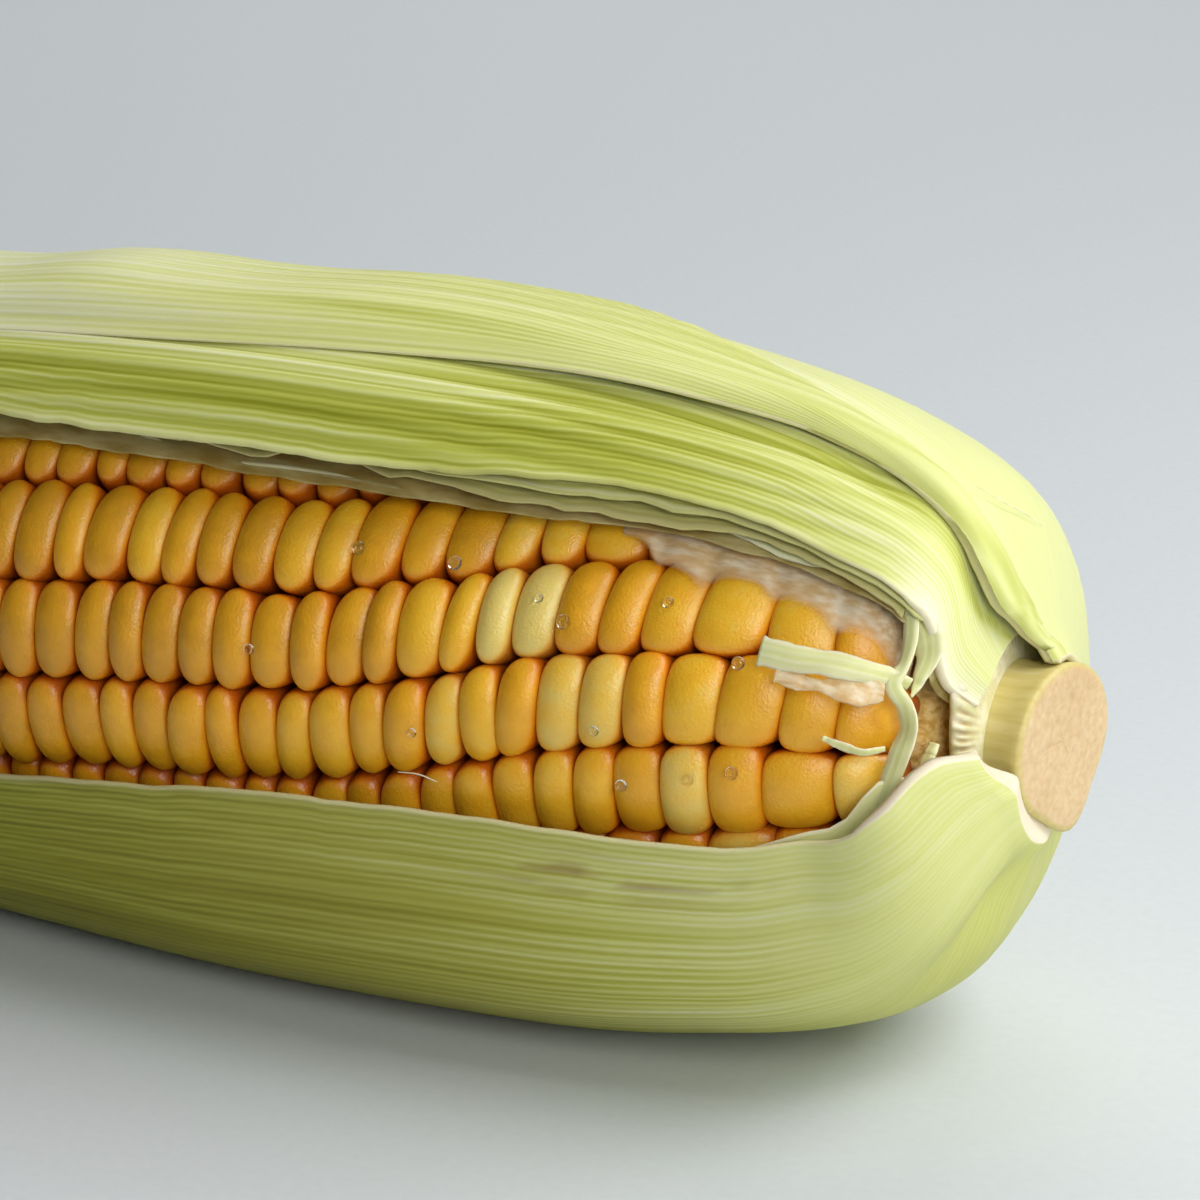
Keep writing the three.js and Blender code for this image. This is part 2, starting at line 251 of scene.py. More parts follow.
# %% Leaf margins
upper_margin = smooth_line([
    [-121, 24], [-112, 26], [-98, 34], [-80, 42], [-50, 48], [0, 50], [65, 51],
    [80, 53.5], [96, 54.5], [103, 51.8], [107.6, 50.4], [109.3, 49.2], [110.8, 48.2],
    [112.3, 47], [113.4, 43.5], [114.1, 38.6], [114.9, 33.2], [117, 31],
])
lower_margin = smooth_line([
    [-121, -4], [-112, -8], [-98, -20], [-80, -32], [-40, -36], [0, -31], [25, -23.7], [47, -17.5],
    [70, -14], [97, -14.6], [104, -11.5], [108, -9], [110.5, -5], [113, 1], [115.4, 10],
])
crest_margin = smooth_line([
    [-121, 40], [-98, 52], [-60, 60], [18.7, 65.7], [39.1, 66.8], [54.5, 69.3], [68, 72.1],
    [78.4, 73], [85.6, 74.4], [95.6, 76.9], [98.7, 76.7], [102.8, 76], [106.5, 74.2],
    [110, 71.8], [112.2, 69.4], [113.2, 67.3], [114.8, 66], [115.6, 72.9], [116.8, 86.3],
])
top_leaf_edge = smooth_line([
    [-121, 90], [-60, 112], [0, 120], [60, 113], [80, 99], [93, 90.5], [99.5, 86.5], [104.6, 83],
    [109.2, 79.5], [112, 78], [114.4, 78], [115.3, 82], [116.3, 90], [117.1, 98],
])
print("At the middle the husk is open by", round(float(upper_margin(0) - lower_margin(0))), "degrees")

# %% [markdown]
# ## Putting a shape into a mesh
# One small helper carries every shape. It makes a Blender object from points in millimetres, faces
# and named numbers per point, and lets it ride on the part's only body. The points stay in the ear's
# own frame, so each object sits at the origin, unturned and unscaled. A leaf also gets a map, in
# metres across and along the blade, for its veins to follow.

# %% A mesh helper
def make_piece(name, points, faces, finish, slot, stands_for=(), uv=None, **numbers):
    """A smooth mesh object from points in millimetres, with one float attribute for each number."""
    mesh = bpy.data.meshes.new(name)
    mesh.from_pydata((np.asarray(points) / 1000).tolist(), [], faces)
    for key, values in numbers.items():
        attribute = mesh.attributes.new(key, "FLOAT", "POINT")
        attribute.data.foreach_set("value", np.asarray(values, np.float32).ravel())
    if uv is not None:
        corners = np.empty(len(mesh.loops), np.int32)
        mesh.loops.foreach_get("vertex_index", corners)
        layer = mesh.uv_layers.new(name="leaf_map")
        layer.data.foreach_set("uv", (np.asarray(uv)[corners] / 1000).astype(np.float32).ravel())
    mesh.shade_smooth()
    mesh.materials.append(finish)
    piece = bpy.data.objects.new(name, mesh)
    bpy.context.scene.collection.objects.link(piece)
    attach(piece, "root")
    if stands_for:
        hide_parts(*stands_for)
    return piece


print("The ear is one body, and its box is", [round(1000 * v) for v in cad_high - cad_low], "mm")

# %% [markdown]
# ## Tubes
# Stems, threads, ribbons, rings and drops are all tubes: a grid of rings, closed with a point at each
# end. A curve object with a bevel would give threads, but not ribbons that change width and roll on
# their way. So the rings are worked out here, as whole arrays.

# %% Tube helpers
def tube_faces(rings, sides, first=0):
    """Quads between neighbouring rings of points, and triangles to one pole point at each end. The
    points are the rings in order, then the two poles."""
    i, j = np.meshgrid(np.arange(rings - 1), np.arange(sides), indexing="ij")
    next_j = (j + 1) % sides
    quads = np.stack([i * sides + j, (i + 1) * sides + j, (i + 1) * sides + next_j,
                      i * sides + next_j], -1).reshape(-1, 4) + first
    j = np.arange(sides)
    next_j = (j + 1) % sides
    last = (rings - 1) * sides
    near = np.stack([np.full(sides, rings * sides), j, next_j], -1) + first
    far = np.stack([np.full(sides, rings * sides + 1), last + next_j, last + j], -1) + first
    return quads.tolist() + near.tolist() + far.tolist()


def closed_rings(grid):
    """The points of a grid of rings, followed by the middle of its first ring and of its last."""
    ends = np.stack([grid[0].mean(0), grid[-1].mean(0)])
    return np.vstack([grid.reshape(-1, 3), ends])


def swept(path, half_width, half_thick, side, sides=10):
    """Ellipses carried along a path: each is side times half_width times cos a, plus the direction
    square to side and path times half_thick times sin a."""
    path = np.asarray(path, float)
    along = np.gradient(path, axis=0)
    along /= np.linalg.norm(along, axis=1, keepdims=True)
    side = np.broadcast_to(np.asarray(side, float), path.shape)
    side = side - (side * along).sum(1, keepdims=True) * along
    side = side / np.linalg.norm(side, axis=1, keepdims=True)
    up = np.cross(side, along)
    a = np.linspace(0, 2 * np.pi, sides, endpoint=False)
    half_width = np.broadcast_to(half_width, len(path))[:, None, None]
    half_thick = np.broadcast_to(half_thick, len(path))[:, None, None]
    return (path[:, None] + side[:, None] * np.cos(a)[None, :, None] * half_width
            + up[:, None] * np.sin(a)[None, :, None] * half_thick)


def many_tubes(grids):
    """One list of points and one of faces for several tubes of the same number of sides."""
    points = []
    faces = []
    for grid in grids:
        faces += tube_faces(grid.shape[0], grid.shape[1], sum(len(p) for p in points))
        points.append(closed_rings(grid))
    return np.vstack(points), faces


print("A tube of 3 rings with 8 sides has", len(tube_faces(3, 8)), "faces")

# %% [markdown]
# ## Building a finish from nodes
# Materials are procedural. A colour is written as the hex value that a painter would pick, and one
# function turns it into the linear light that the renderer works in. One more function adds a node,
# sets it up and links it, so that each finish below reads like a recipe.

# %% Colour and node helpers
def linear(colour):
    """An sRGB hex colour as linear red, green, blue and alpha."""
    parts = np.array([int(colour[i:i + 2], 16) for i in (1, 3, 5)]) / 255
    light = np.where(parts <= 0.04045, parts / 12.92, ((parts + 0.055) / 1.055) ** 2.4)
    return (*light.tolist(), 1.0)


def add(tree, kind, inputs=None, stops=None, **settings):
    """Adds one shader node. An input given as a socket is linked, as a hex colour is made linear,
    and as a number is set. Stops are a colour ramp's places and colours."""
    node = tree.nodes.new("ShaderNode" + kind)
    for key, value in settings.items():
        setattr(node, key, value)
    for key, value in (inputs or {}).items():
        if isinstance(value, bpy.types.NodeSocket):
            tree.links.new(value, node.inputs[key])
        elif isinstance(value, str):
            node.inputs[key].default_value = linear(value)
        else:
            node.inputs[key].default_value = value
    for place, colour in stops or ():
        ramp = node.color_ramp.elements
        element = ramp[-int(place)] if place in (0, 1) else ramp.new(place)
        element.color = linear(colour)
    return node


def new_finish(name):
    """An empty material, its node tree and its output's surface socket."""
    finish = bpy.data.materials.new(name)
    finish.use_nodes = True
    finish.node_tree.nodes.clear()
    output = finish.node_tree.nodes.new("ShaderNodeOutputMaterial")
    return finish, finish.node_tree, output.inputs["Surface"]


print("Mid grey as linear light:", round(linear("#808080")[0], 3))

# %% [markdown]
# ## Kernel skin
# A sweet corn kernel is a juicy, slightly see-through body under a thin waxy skin. Light goes in,
# scatters and comes out warmer, which makes the grooves between kernels glow orange. Their colour is
# also painted darker and more orange down into each groove, as painted shade. The skin has a soft
# gloss, broken up by dimples about 0.25 mm apart, and a thin coat of wax over it.
# Each kernel has a tone of its own, from deep gold to pale cream.

# %% Kernel finish
kernel_skin, tree, surface = new_finish("sweet_corn_kernel_skin")
tone = add(tree, "Attribute", attribute_name="tone").outputs["Fac"]
depth = add(tree, "Attribute", attribute_name="depth").outputs["Fac"]
place = add(tree, "TexCoord").outputs["Object"]
blotch = add(tree, "TexNoise", {"Vector": place, "Scale": 520, "Detail": 3}).outputs["Fac"]
tone = add(tree, "Math", {0: blotch, 1: 0.5, 2: tone}, operation="MULTIPLY_ADD").outputs[0]
tone = add(tree, "Math", {0: tone, 1: 0.25}, operation="SUBTRACT").outputs[0]
flesh = add(tree, "ValToRGB", {"Fac": tone}, stops=[
    (0, "#cf9412"), (0.35, "#eaaa18"), (0.65, "#f2bc28"), (1, "#e8ce70"),
]).outputs["Color"]
# Painted shade: the flesh is multiplied darker and more orange from the crown down to the cob, by
# depth.
groove = add(tree, "ValToRGB", {"Fac": depth}, stops=[
    (0, "#ffffff"), (0.25, "#ffe6b4"), (0.5, "#e09c48"), (1, "#a85c1a"),
]).outputs["Color"]
flesh = add(tree, "Mix", {0: 1.0, 6: flesh, 7: groove},
            data_type="RGBA", blend_type="MULTIPLY").outputs[2]
dimples = add(tree, "TexNoise", {"Vector": place, "Scale": 4200, "Detail": 1}).outputs["Fac"]
skin_bump = add(tree, "Bump", {"Height": dimples, "Strength": 0.7, "Distance": 0.0001}).outputs[0]
sheen_spread = add(tree, "MapRange", {"Value": blotch, "To Min": 0.28, "To Max": 0.44}).outputs[0]
body = add(tree, "BsdfPrincipled", {
    "Base Color": flesh, "Roughness": sheen_spread, "Normal": skin_bump,
    "Subsurface Weight": 0.35, "Subsurface Radius": (1.0, 0.5, 0.16), "Subsurface Scale": 0.0016,
    "IOR": 1.5, "Coat Weight": 0.3, "Coat Roughness": 0.32,
})
tree.links.new(body.outputs[0], surface)
print(kernel_skin.name, "has", len(tree.nodes), "nodes")

# %% [markdown]
# ## Where the kernels stand
# The kernels of a row touch, and each is about 4 mm thick along the cob. Those nearest the stem are
# the thickest. Every other row is shifted by half a kernel, which is why the rows seem to interlock.
# So one list of half steps serves all rows: even rows take its even entries, and odd rows the odd
# ones. The rows that show have their first kernels measured, since no two real ones are alike.

# %% Places of the kernels
ROWS = 16
KERNELS = 49  # in each row
KERNELS_START_X = 109.5  # mm along the ear
OPEN_ROWS = (1, 2, 3, 15, 16)  # the rows that show, which are smoothed once more than the rest
kernel_pitch = smooth_line([
    [-84, 3.2], [-40, 3.5], [25, 3.7], [70, 3.7], [82, 3.9], [90, 4.6], [97, 5.6], [103, 5.5],
    [108, 4.5],
])
kernel_steps = [KERNELS_START_X]
while len(kernel_steps) < 2 * KERNELS + 2:
    kernel_steps.append(kernel_steps[-1] - kernel_pitch(kernel_steps[-1]) / 2)
kernel_steps = np.array(kernel_steps)
# Places, in mm along the ear, where kernels of a row meet, from the stem: thick ones, then thin.
MEETINGS = {
    1: [108.2, 103.5, 97.8, 91.9, 87.2, 83.5, 79.5, 75.6, 72.5, 69.4, 65.2, 62.1, 58.3],
    2: [109.2, 104.6, 99.2, 93.9, 89.3, 85.2, 79.6, 75.8, 72.1, 67.6, 63.6, 59.3, 55.7, 51.7,
        47.8, 44.2],
    15: [109.2, 104.9, 99.0, 94.5, 90.4, 86.0, 82.2, 78.5, 74.6, 70.8],
    16: [109.2, 104.9, 100.4, 95.1, 90.2, 86.7, 82.8, 78.8, 75.2, 71.7],
}
# Kernels that ripened paler than the rest, by row, counted from the stem.
PALE = {1: [6, 7]}


def kernel_edges(number, rng):
    """Where the kernels of a row meet: its share of the steps, each moved at random by up to 8.5% of
    a kernel, with the measured ones in place and the rest drawn along, less so farther away."""
    shift = (number + 1) % 2
    edges = kernel_steps[shift:shift + 2 * KERNELS + 1:2].copy()
    edges[1:-1] += rng.uniform(-0.085, 0.085, KERNELS - 1) * kernel_pitch(edges[1:-1])
    known = MEETINGS.get(number + 1, [])
    if known:
        edges += (known[-1] - edges[len(known) - 1]) * smooth_step(-60, 40, edges)
        edges[:len(known)] = known
    return edges


print("Kernels run from x", kernel_steps[0], "to", round(kernel_steps[-1], 1), "mm")

# %% [markdown]
# ## A kernel's cage
# Each kernel is a rounded slab about 4 mm thick and 9 mm wide, and it stands on the cob with its
# narrow sides against its neighbours. Modelling hundreds of them finely would be heavy. A coarse
# cage of 37 faces is enough, because a Subdivision Surface modifier rounds it off. The cage has a
# top of 3 by 4 points, two full rings below it, and a narrower ring down at the cob.

# %% The cage
# The top's points as (share of half the thickness, share of half the width, depth in mm).
TOP = np.array([
    (-0.80, -0.87, 0.95), (-0.94, -0.40, 0.38), (-0.94, 0.40, 0.38), (-0.80, 0.87, 0.95),
    (0, -0.98, 0.62), (0, -0.42, -0.30), (0, 0.42, -0.30), (0, 0.98, 0.62),
    (0.80, -0.87, 0.95), (0.94, -0.40, 0.38), (0.94, 0.40, 0.38), (0.80, 0.87, 0.95),
])
TOP_RIM = [0, 1, 2, 3, 7, 11, 10, 9, 8, 4]
# A ring's points, in the order of the top's rim, as the same two shares.
FULL = np.array([
    (-1.03, -1.0), (-1.08, -0.40), (-1.08, 0.40), (-1.03, 1.0), (0, 1.08),
    (1.03, 1.0), (1.08, 0.40), (1.08, -0.40), (1.03, -1.0), (0, -1.08),
])
CAGE = len(TOP) + 3 * len(FULL)
cage_faces = [
    [4 * p + q, 4 * p + q + 4, 4 * p + q + 5, 4 * p + q + 1]
    for p in range(2) for q in range(3)
]
cage_rings = [TOP_RIM] + [list(range(first, first + 10)) for first in (12, 22, 32)]
for upper, lower in zip(cage_rings, cage_rings[1:]):
    for k in range(10):
        following = (k + 1) % 10
        cage_faces.append([upper[k], upper[following], lower[following], lower[k]])
cage_faces.append(cage_rings[3][::-1])
cage_p = np.r_[TOP[:, 0], FULL[:, 0], FULL[:, 0], FULL[:, 0] * 0.78]
cage_q = np.r_[TOP[:, 1], FULL[:, 1], FULL[:, 1], FULL[:, 1] * 0.9]
cage_corner = np.isin(np.arange(CAGE), [0, 3, 8, 11, 12, 15, 17, 20])
# How deep in the groove a point lies, from 0 on the crown to 1 at the cob, for the finish's painted
# shade.
cage_depth = np.r_[np.where(TOP[:, 2] < 0.9, 0.0, 0.12), np.full(10, 0.5), np.ones(20)]
print("A kernel's cage has", CAGE, "points and", len(cage_faces), "faces")

# %% [markdown]
# ## Rows of kernels
# A row is one mesh, since its kernels sit side by side on one strip of the cob. The cage is laid out
# for all of them at once: every point is worked out from its kernel's place and its own shares. Each
# kernel leans, bows and stands out a little differently, and those farther from the stem are rounder
# at their corners. Their tone is also made deeper towards the tip, as painted shade for the light
# that falls off there.

# %% Kernel rows
FULL_DEPTH = 1.25  # mm below the crown, where a kernel reaches its full width
HALF_WIDTH = 4.6  # mm, half a kernel's width across the cob


def kernel_row(number):
    """One row of kernels. A cage point sits at x = middle + p * half thickness and angle = row's
    middle + twist(x) + q * half width, at the crown's radius less its depth."""
    rng = np.random.default_rng(40 + number)
    edges = kernel_edges(number, rng)
    middle = ((edges[:-1] + edges[1:]) / 2)[:, None]
    half = ((edges[:-1] - edges[1:]) / 2)[:, None]
    grow = rng.normal(0, 0.16, (KERNELS, 1))
    lean = rng.normal(0, 0.035, (KERNELS, 1)) * HALF_WIDTH
    bow = rng.normal(0, 0.05, (KERNELS, 1))
    wide = 1 + rng.normal(0, 0.018, (KERNELS, 1))
    rounder = 1 - 0.11 * cage_corner * (1 - smooth_step(65, 95, middle))
    p = cage_p * rounder
    q = cage_q * rounder
    x = middle + p * half + lean * q + bow * half * q**2
    angle = (number + 0.5) * 360 / ROWS + row_twist(x) + q * 180 / ROWS * wide
    crown = crown_radius(x) + grow
    room = crown - core_radius(x)
    deep = np.minimum(FULL_DEPTH, room * 0.3)
    radius = np.concatenate([
        crown[:, :12] - TOP[:, 2] * np.minimum(1, room[:, :12] / 6),
        crown[:, 12:22] - deep[:, 12:22],
        crown[:, 22:32] - deep[:, 22:32] * 2.6,
        core_radius(x[:, 32:]) + 0.2,
    ], axis=1)
    points = on_ear(x, radius, angle).reshape(-1, 3)
    faces = [[v + CAGE * k for v in face] for k in range(KERNELS) for face in cage_faces]
    # Painted shade: kernels are given a deeper tone towards the tip, where the light falls off.
    tipward_shade = 0.3 * (1 - smooth_step(20, 100, middle[:, 0]))
    tones = np.clip(rng.normal(0.52, 0.16, KERNELS) - tipward_shade, 0.1, 0.85)
    tones[PALE.get(number + 1, [])] = 1.1
    name = f"{number + 1:02d}"
    row = make_piece(
        "kernels_" + name, points, faces, kernel_skin, "kernels", ["kernel_row_" + name],
        tone=np.repeat(tones, CAGE), depth=np.tile(cage_depth, KERNELS),
    )
    rounding = row.modifiers.new("rounding", "SUBSURF")
    rounding.levels = rounding.render_levels = 2 if number + 1 in OPEN_ROWS else 1


for number in range(ROWS):
    kernel_row(number)
print(ROWS, "rows of", KERNELS, "kernels")

# %% [markdown]
# ## Cob finish
# The cob is dry, brittle tissue. Where the kernels end, its butt shows rough tan chaff: thin scales
# that catch the light. They are about 2 mm long and 0.7 mm wide, so noise of that grain gives them
# their colour and a strong relief. The tissue is dry, so it has next to no gloss.

# %% Chaff finish
cob_chaff, tree, surface = new_finish("dry_cob_chaff")
place = add(tree, "TexCoord").outputs["Object"]
stretched = add(tree, "Mapping", {"Vector": place, "Scale": (500, 1500, 1500)}).outputs[0]
fuzz = add(tree, "TexNoise", {"Vector": stretched, "Scale": 1.0, "Detail": 4}).outputs["Fac"]
chaff_colour = add(tree, "ValToRGB", {"Fac": fuzz}, stops=[
    (0, "#a87830"), (0.42, "#cfa552"), (0.56, "#e6c47c"), (1, "#f6e4b4"),
]).outputs["Color"]
chaff_bump = add(tree, "Bump", {"Height": fuzz, "Strength": 0.8, "Distance": 0.0003}).outputs[0]
body = add(tree, "BsdfPrincipled", {
    "Base Color": chaff_colour, "Roughness": 0.85, "Normal": chaff_bump,
    "Subsurface Weight": 0.1, "Subsurface Scale": 0.001,
})
tree.links.new(body.outputs[0], surface)
print(cob_chaff.name, "has", len(tree.nodes), "nodes")

# %% [markdown]
# ## Stem finish
# The stem is fresh and fibrous. Its rind is smooth and straw yellow, with fibres along it. The knife
# cut lays open a moist, spongy pith, paler than the rind, with a speck wherever a fibre was cut. One
# finish holds both, and a number on the mesh says which is which, so that the rim has no seam.

# %% Stem finish
stem_skin, tree, surface = new_finish("cut_corn_stem")
cut = add(tree, "Attribute", attribute_name="cut").outputs["Fac"]
place = add(tree, "TexCoord").outputs["Object"]
pith = add(tree, "TexNoise", {"Vector": place, "Scale": 1500, "Detail": 3}).outputs["Fac"]
cloud = add(tree, "TexNoise", {"Vector": place, "Scale": 190, "Detail": 2}).outputs["Fac"]
pith_colour = add(tree, "ValToRGB", {"Fac": pith}, stops=[
    (0, "#c9af88"), (0.4, "#dac49e"), (0.6, "#e1cfac"), (1, "#ece0c4"),
]).outputs["Color"]
cloud_colour = add(tree, "ValToRGB", {"Fac": cloud}, stops=[
    (0, "#ead0ae"), (1, "#fff6e2"),
]).outputs["Color"]
pith_colour = add(tree, "Mix", {0: 0.8, 6: pith_colour, 7: cloud_colour},
                  data_type="RGBA", blend_type="MULTIPLY").outputs[2]
lines = add(tree, "Mapping", {"Vector": place, "Scale": (60, 1300, 1300)}).outputs[0]
fibre = add(tree, "TexNoise", {"Vector": lines, "Scale": 1.0, "Detail": 2}).outputs["Fac"]
rind_colour = add(tree, "ValToRGB", {"Fac": fibre}, stops=[
    (0, "#bda95e"), (0.5, "#cfbe76"), (1, "#ddd09a"),
]).outputs["Color"]
stem_colour = add(tree, "Mix", {0: cut, 6: rind_colour, 7: pith_colour}, data_type="RGBA").outputs[2]
grain = add(tree, "Mix", {0: cut, 2: fibre, 3: pith}).outputs[0]
stem_bump = add(tree, "Bump", {"Height": grain, "Strength": 0.4, "Distance": 0.00012}).outputs[0]
body = add(tree, "BsdfPrincipled", {
    "Base Color": stem_colour, "Roughness": 0.5, "Normal": stem_bump,
    "Subsurface Weight": 0.25, "Subsurface Radius": (1.0, 0.7, 0.4), "Subsurface Scale": 0.0012,
})
tree.links.new(body.outputs[0], surface)
print(stem_skin.name, "has", len(tree.nodes), "nodes")

# %% [markdown]
# ## Cob
# The core tapers towards the tip and ends near the stem in a blunt butt, which shows in a recess
# where the husk is torn away. It is a turned shape, so it is a grid of rings. Their radius is moved
# by noise, strongly where the chaff stands up and hardly at all under the kernels.

# %% Cob shape
TURNED_SIDES = 120
turn = np.arange(TURNED_SIDES) * 360 / TURNED_SIDES
core_x = np.r_[np.linspace(-83, 104, 60), np.linspace(105, 109.2, 16)]
butt = np.array([
    (109.8, 10.4), (110.1, 9.9), (110.4, 9.3), (110.7, 8.7), (110.9, 8.1), (111.0, 7.0),
])
core_x = np.r_[core_x, butt[:, 0]][:, None]
core_r = np.r_[core_radius(core_x[:-len(butt), 0]), butt[:, 1]][:, None]
chaff = smooth_step(103, 106, core_x) * (1 - smooth_step(110.1, 110.5, core_x))
tufts = noise(core_x * 1.9, turn / 6, 3) * 1.3 + noise(core_x * 0.7, turn / 2.4, 4) * 0.9
uneven = core_r + chaff * (tufts - 0.6) + 0.12 * noise(core_x, turn / 5, 5)
core_grid = on_ear(core_x, uneven, turn)
make_piece("cob_and_butt", closed_rings(core_grid), tube_faces(*core_grid.shape[:2]),
           cob_chaff, "cob_core", ["cob_core"])
print("Cob from", round(core_x.min(), 1), "to", round(core_x.max(), 1), "mm")

# %% [markdown]
# ## Stem
# The stem is a stub about 13 mm across, cut off by a knife at a slant, with a sagging lower edge
# where the blade came out. It is one more grid of rings: along its side, round the edge of the cut,
# and in to the middle of the cut face. Each ring is then slanted, more so the nearer it is to the cut.

# %% Stem shape
CUT_SLANT = math.tan(math.radians(11))
CUT_X = 118
stem_side = np.array([
    (110.2, 6.4), (111.4, 6.9), (112.4, 6.75), (113.4, 6.5), (114.4, 6.4), (115.4, 6.4),
    (116.2, 6.5), (117.0, 6.65), (117.6, 6.75), (117.85, 6.7), (118.0, 6.5),
])
face_r = np.linspace(6.2, 0.3, 12)
stem_x = np.r_[stem_side[:, 0], np.full(12, CUT_X)][:, None]
stem_r = np.r_[stem_side[:, 1], face_r][:, None]
on_cut = smooth_step(6.55, 6.3, stem_r) * smooth_step(117.7, 118, stem_x)
drop = 1 + 0.3 * bump_at(256, 22, turn) * smooth_step(113.5, 117.8, stem_x)
drop = drop + 0.05 * bump_at(170, 50, turn) * smooth_step(113.5, 117.8, stem_x)
stem_r = stem_r * drop + 0.05 * noise(turn / 4, stem_x * 0.2, 6) * (1 - on_cut)
slope = smooth_step(112, 117.9, stem_x) * CUT_SLANT
lift = 0.14 * noise(stem_r * 1.5, turn / 14 * np.ones_like(stem_r), 7) * on_cut
stem_grid = on_ear(stem_x + lift, stem_r, turn)
stem_grid[..., 0] += stem_grid[..., 1] * slope
stem_points = closed_rings(stem_grid)
stem_cut = np.r_[np.broadcast_to(on_cut, stem_r.shape).ravel(), 0, 1]
make_piece("stem_stub", stem_points, tube_faces(*stem_grid.shape[:2]), stem_skin, "stem", ["stem"],
           cut=stem_cut)
print("Stem stub", round(stem_points[:, 0].min(), 1), "to", round(stem_points[:, 0].max(), 1), "mm")

# %% [markdown]
# ## Husk leaf finish
# A husk leaf is a thin, fibrous blade with parallel veins about 0.6 mm apart, and coarser ribs every
# 2 mm or so. Its colour runs from deep green where it has had light to nearly white at its base.
# Each leaf carries a number for that, and the ramp turns it into colour. The veins follow the
# leaf's own map, in which one axis runs across the leaf and the other along it. Torn and cut edges
# show the leaf's pale inside.

# %% Leaf finish
def leaf_finish(name, gloss, vein_contrast):
    """Ribs, veins and cut edges in leaf colours, chosen by the piece's own green-to-white number."""
    finish, tree, surface = new_finish(name)
    pale = add(tree, "Attribute", attribute_name="pale").outputs["Fac"]
    edge = add(tree, "Attribute", attribute_name="edge").outputs["Fac"]
    brown = add(tree, "Attribute", attribute_name="brown").outputs["Fac"]
    veined = add(tree, "Attribute", attribute_name="veined").outputs["Fac"]
    leaf_map = add(tree, "UVMap", uv_map="leaf_map").outputs[0]
    fine = add(tree, "Mapping", {"Vector": leaf_map, "Scale": (1700, 22, 1)}).outputs[0]
    broad = add(tree, "Mapping", {"Vector": leaf_map, "Scale": (420, 9, 1)}).outputs[0]
    threads = add(tree, "Mapping", {"Vector": leaf_map, "Scale": (1, 0.02, 1)}).outputs[0]
    lines = add(tree, "TexWave", {"Vector": threads, "Scale": 480, "Distortion": 5, "Detail": 2,
                                  "Detail Scale": 0.6}).outputs["Fac"]
    streaks = add(tree, "TexNoise", {"Vector": fine, "Scale": 1.0, "Detail": 2}).outputs["Fac"]
    veins = add(tree, "Mix", {0: 0.25, 2: streaks, 3: lines}).outputs[0]
    bands = add(tree, "TexNoise", {"Vector": broad, "Scale": 1.0, "Detail": 1}).outputs["Fac"]
    both = add(tree, "Mix", {0: 0.35, 2: veins, 3: bands}).outputs[0]
    swing = add(tree, "Math", {0: both, 1: 0.5}, operation="SUBTRACT").outputs[0]
    swing = add(tree, "Math", {0: swing, 1: veined}, operation="MULTIPLY").outputs[0]
    level = add(tree, "Math", {0: swing, 1: vein_contrast, 2: pale},
                operation="MULTIPLY_ADD").outputs[0]
    blade = add(tree, "ValToRGB", {"Fac": level}, stops=[
        (0, "#6c7010"), (0.25, "#989b26"), (0.5, "#babe52"), (0.72, "#d6da8a"), (1, "#eeeed2"),
    ]).outputs["Color"]
    stained = add(tree, "Mix", {0: brown, 6: blade, 7: "#8c6a3a"}, data_type="RGBA").outputs[2]
    colour = add(tree, "Mix", {0: edge, 6: stained, 7: "#ebdfc6"}, data_type="RGBA").outputs[2]
    depth = add(tree, "Math", {0: veined, 1: 0.7}, operation="MULTIPLY").outputs[0]
    relief = add(tree, "Bump", {"Height": veins, "Strength": depth, "Distance": 0.00015}).outputs[0]
    body = add(tree, "BsdfPrincipled", {
        "Base Color": colour, "Roughness": gloss, "Normal": relief, "Specular IOR Level": 0.3,
        "Subsurface Weight": 0.22, "Subsurface Radius": (1.0, 1.0, 0.3), "Subsurface Scale": 0.001,
    })
    tree.links.new(body.outputs[0], surface)
    return finish


green_leaf = leaf_finish("green_husk_leaf", gloss=0.5, vein_contrast=1.0)
pale_leaf = leaf_finish("pale_husk_leaf", gloss=0.46, vein_contrast=0.55)
print("Leaf finishes:", green_leaf.name, "and", pale_leaf.name)

# %% [markdown]
# ## A leaf's grid
# A leaf is a curved sheet, so it is a grid: one direction runs from the stem to the tip, and the
# other from one margin to the other. The rows are evenly spaced along the leaf, with a few more where
# a knife may have sliced its near end, and a few extra columns at each margin keep the rim crisp.

# %% The grid
MEAN_RADIUS = 28  # mm, turns an angle into a width for the leaf's map
END_ROWS = np.array([0.15, 0.4, 0.7, 1.0, 1.3])  # mm from the near end
EDGE_COLUMNS = np.array([0.004, 0.012, 0.988, 0.996])  # shares of the width


def leaf_grid(start, end, near, far, across, along, ragged, ragged_side):
    """Length along the husk's outer face in mm, share across, x and angle over a leaf between two
    stations, and its rough width in mm. The angle is start + (end - start) * share, and ragged moves
    one of the margins."""
    lengths = np.interp(np.array([near, far]) / STATIONS, table_t, table_length)
    even = np.linspace(lengths[0], lengths[1], along + 1)
    run = np.unique(np.r_[even, lengths[0] + END_ROWS])[:, None]
    w = np.unique(np.r_[np.linspace(0, 1, across + 1), EDGE_COLUMNS])[None, :]
    x = husk_outside(np.interp(run, table_length, table_t))[..., 0]
    first = start(x) if callable(start) else start + 0 * x
    last = end(x) if callable(end) else end + 0 * x
    angle = first + (last - first) * w
    if ragged:
        angle = angle + ragged(run) * (1 - w if ragged_side == "start" else w) ** 10
    span = np.radians(np.abs(last - first).mean()) * MEAN_RADIUS
    return run, w, x, angle, span


def sheet_normals(sheet, out):
    """Unit normals of a grid of points: the cross product of its two slopes, on the side where most
    of them agree with out."""
    n = np.cross(np.gradient(sheet, axis=1), np.gradient(sheet, axis=0))
    n /= np.linalg.norm(n, axis=-1, keepdims=True) + 1e-12
    return n * np.sign((n * out).sum(-1).mean())


run, w, x, angle, span = leaf_grid(140, 246, 0, 15, 48, 120, None, "start")
print("A leaf from 140 to 246 degrees is about", round(float(span)), "mm wide")

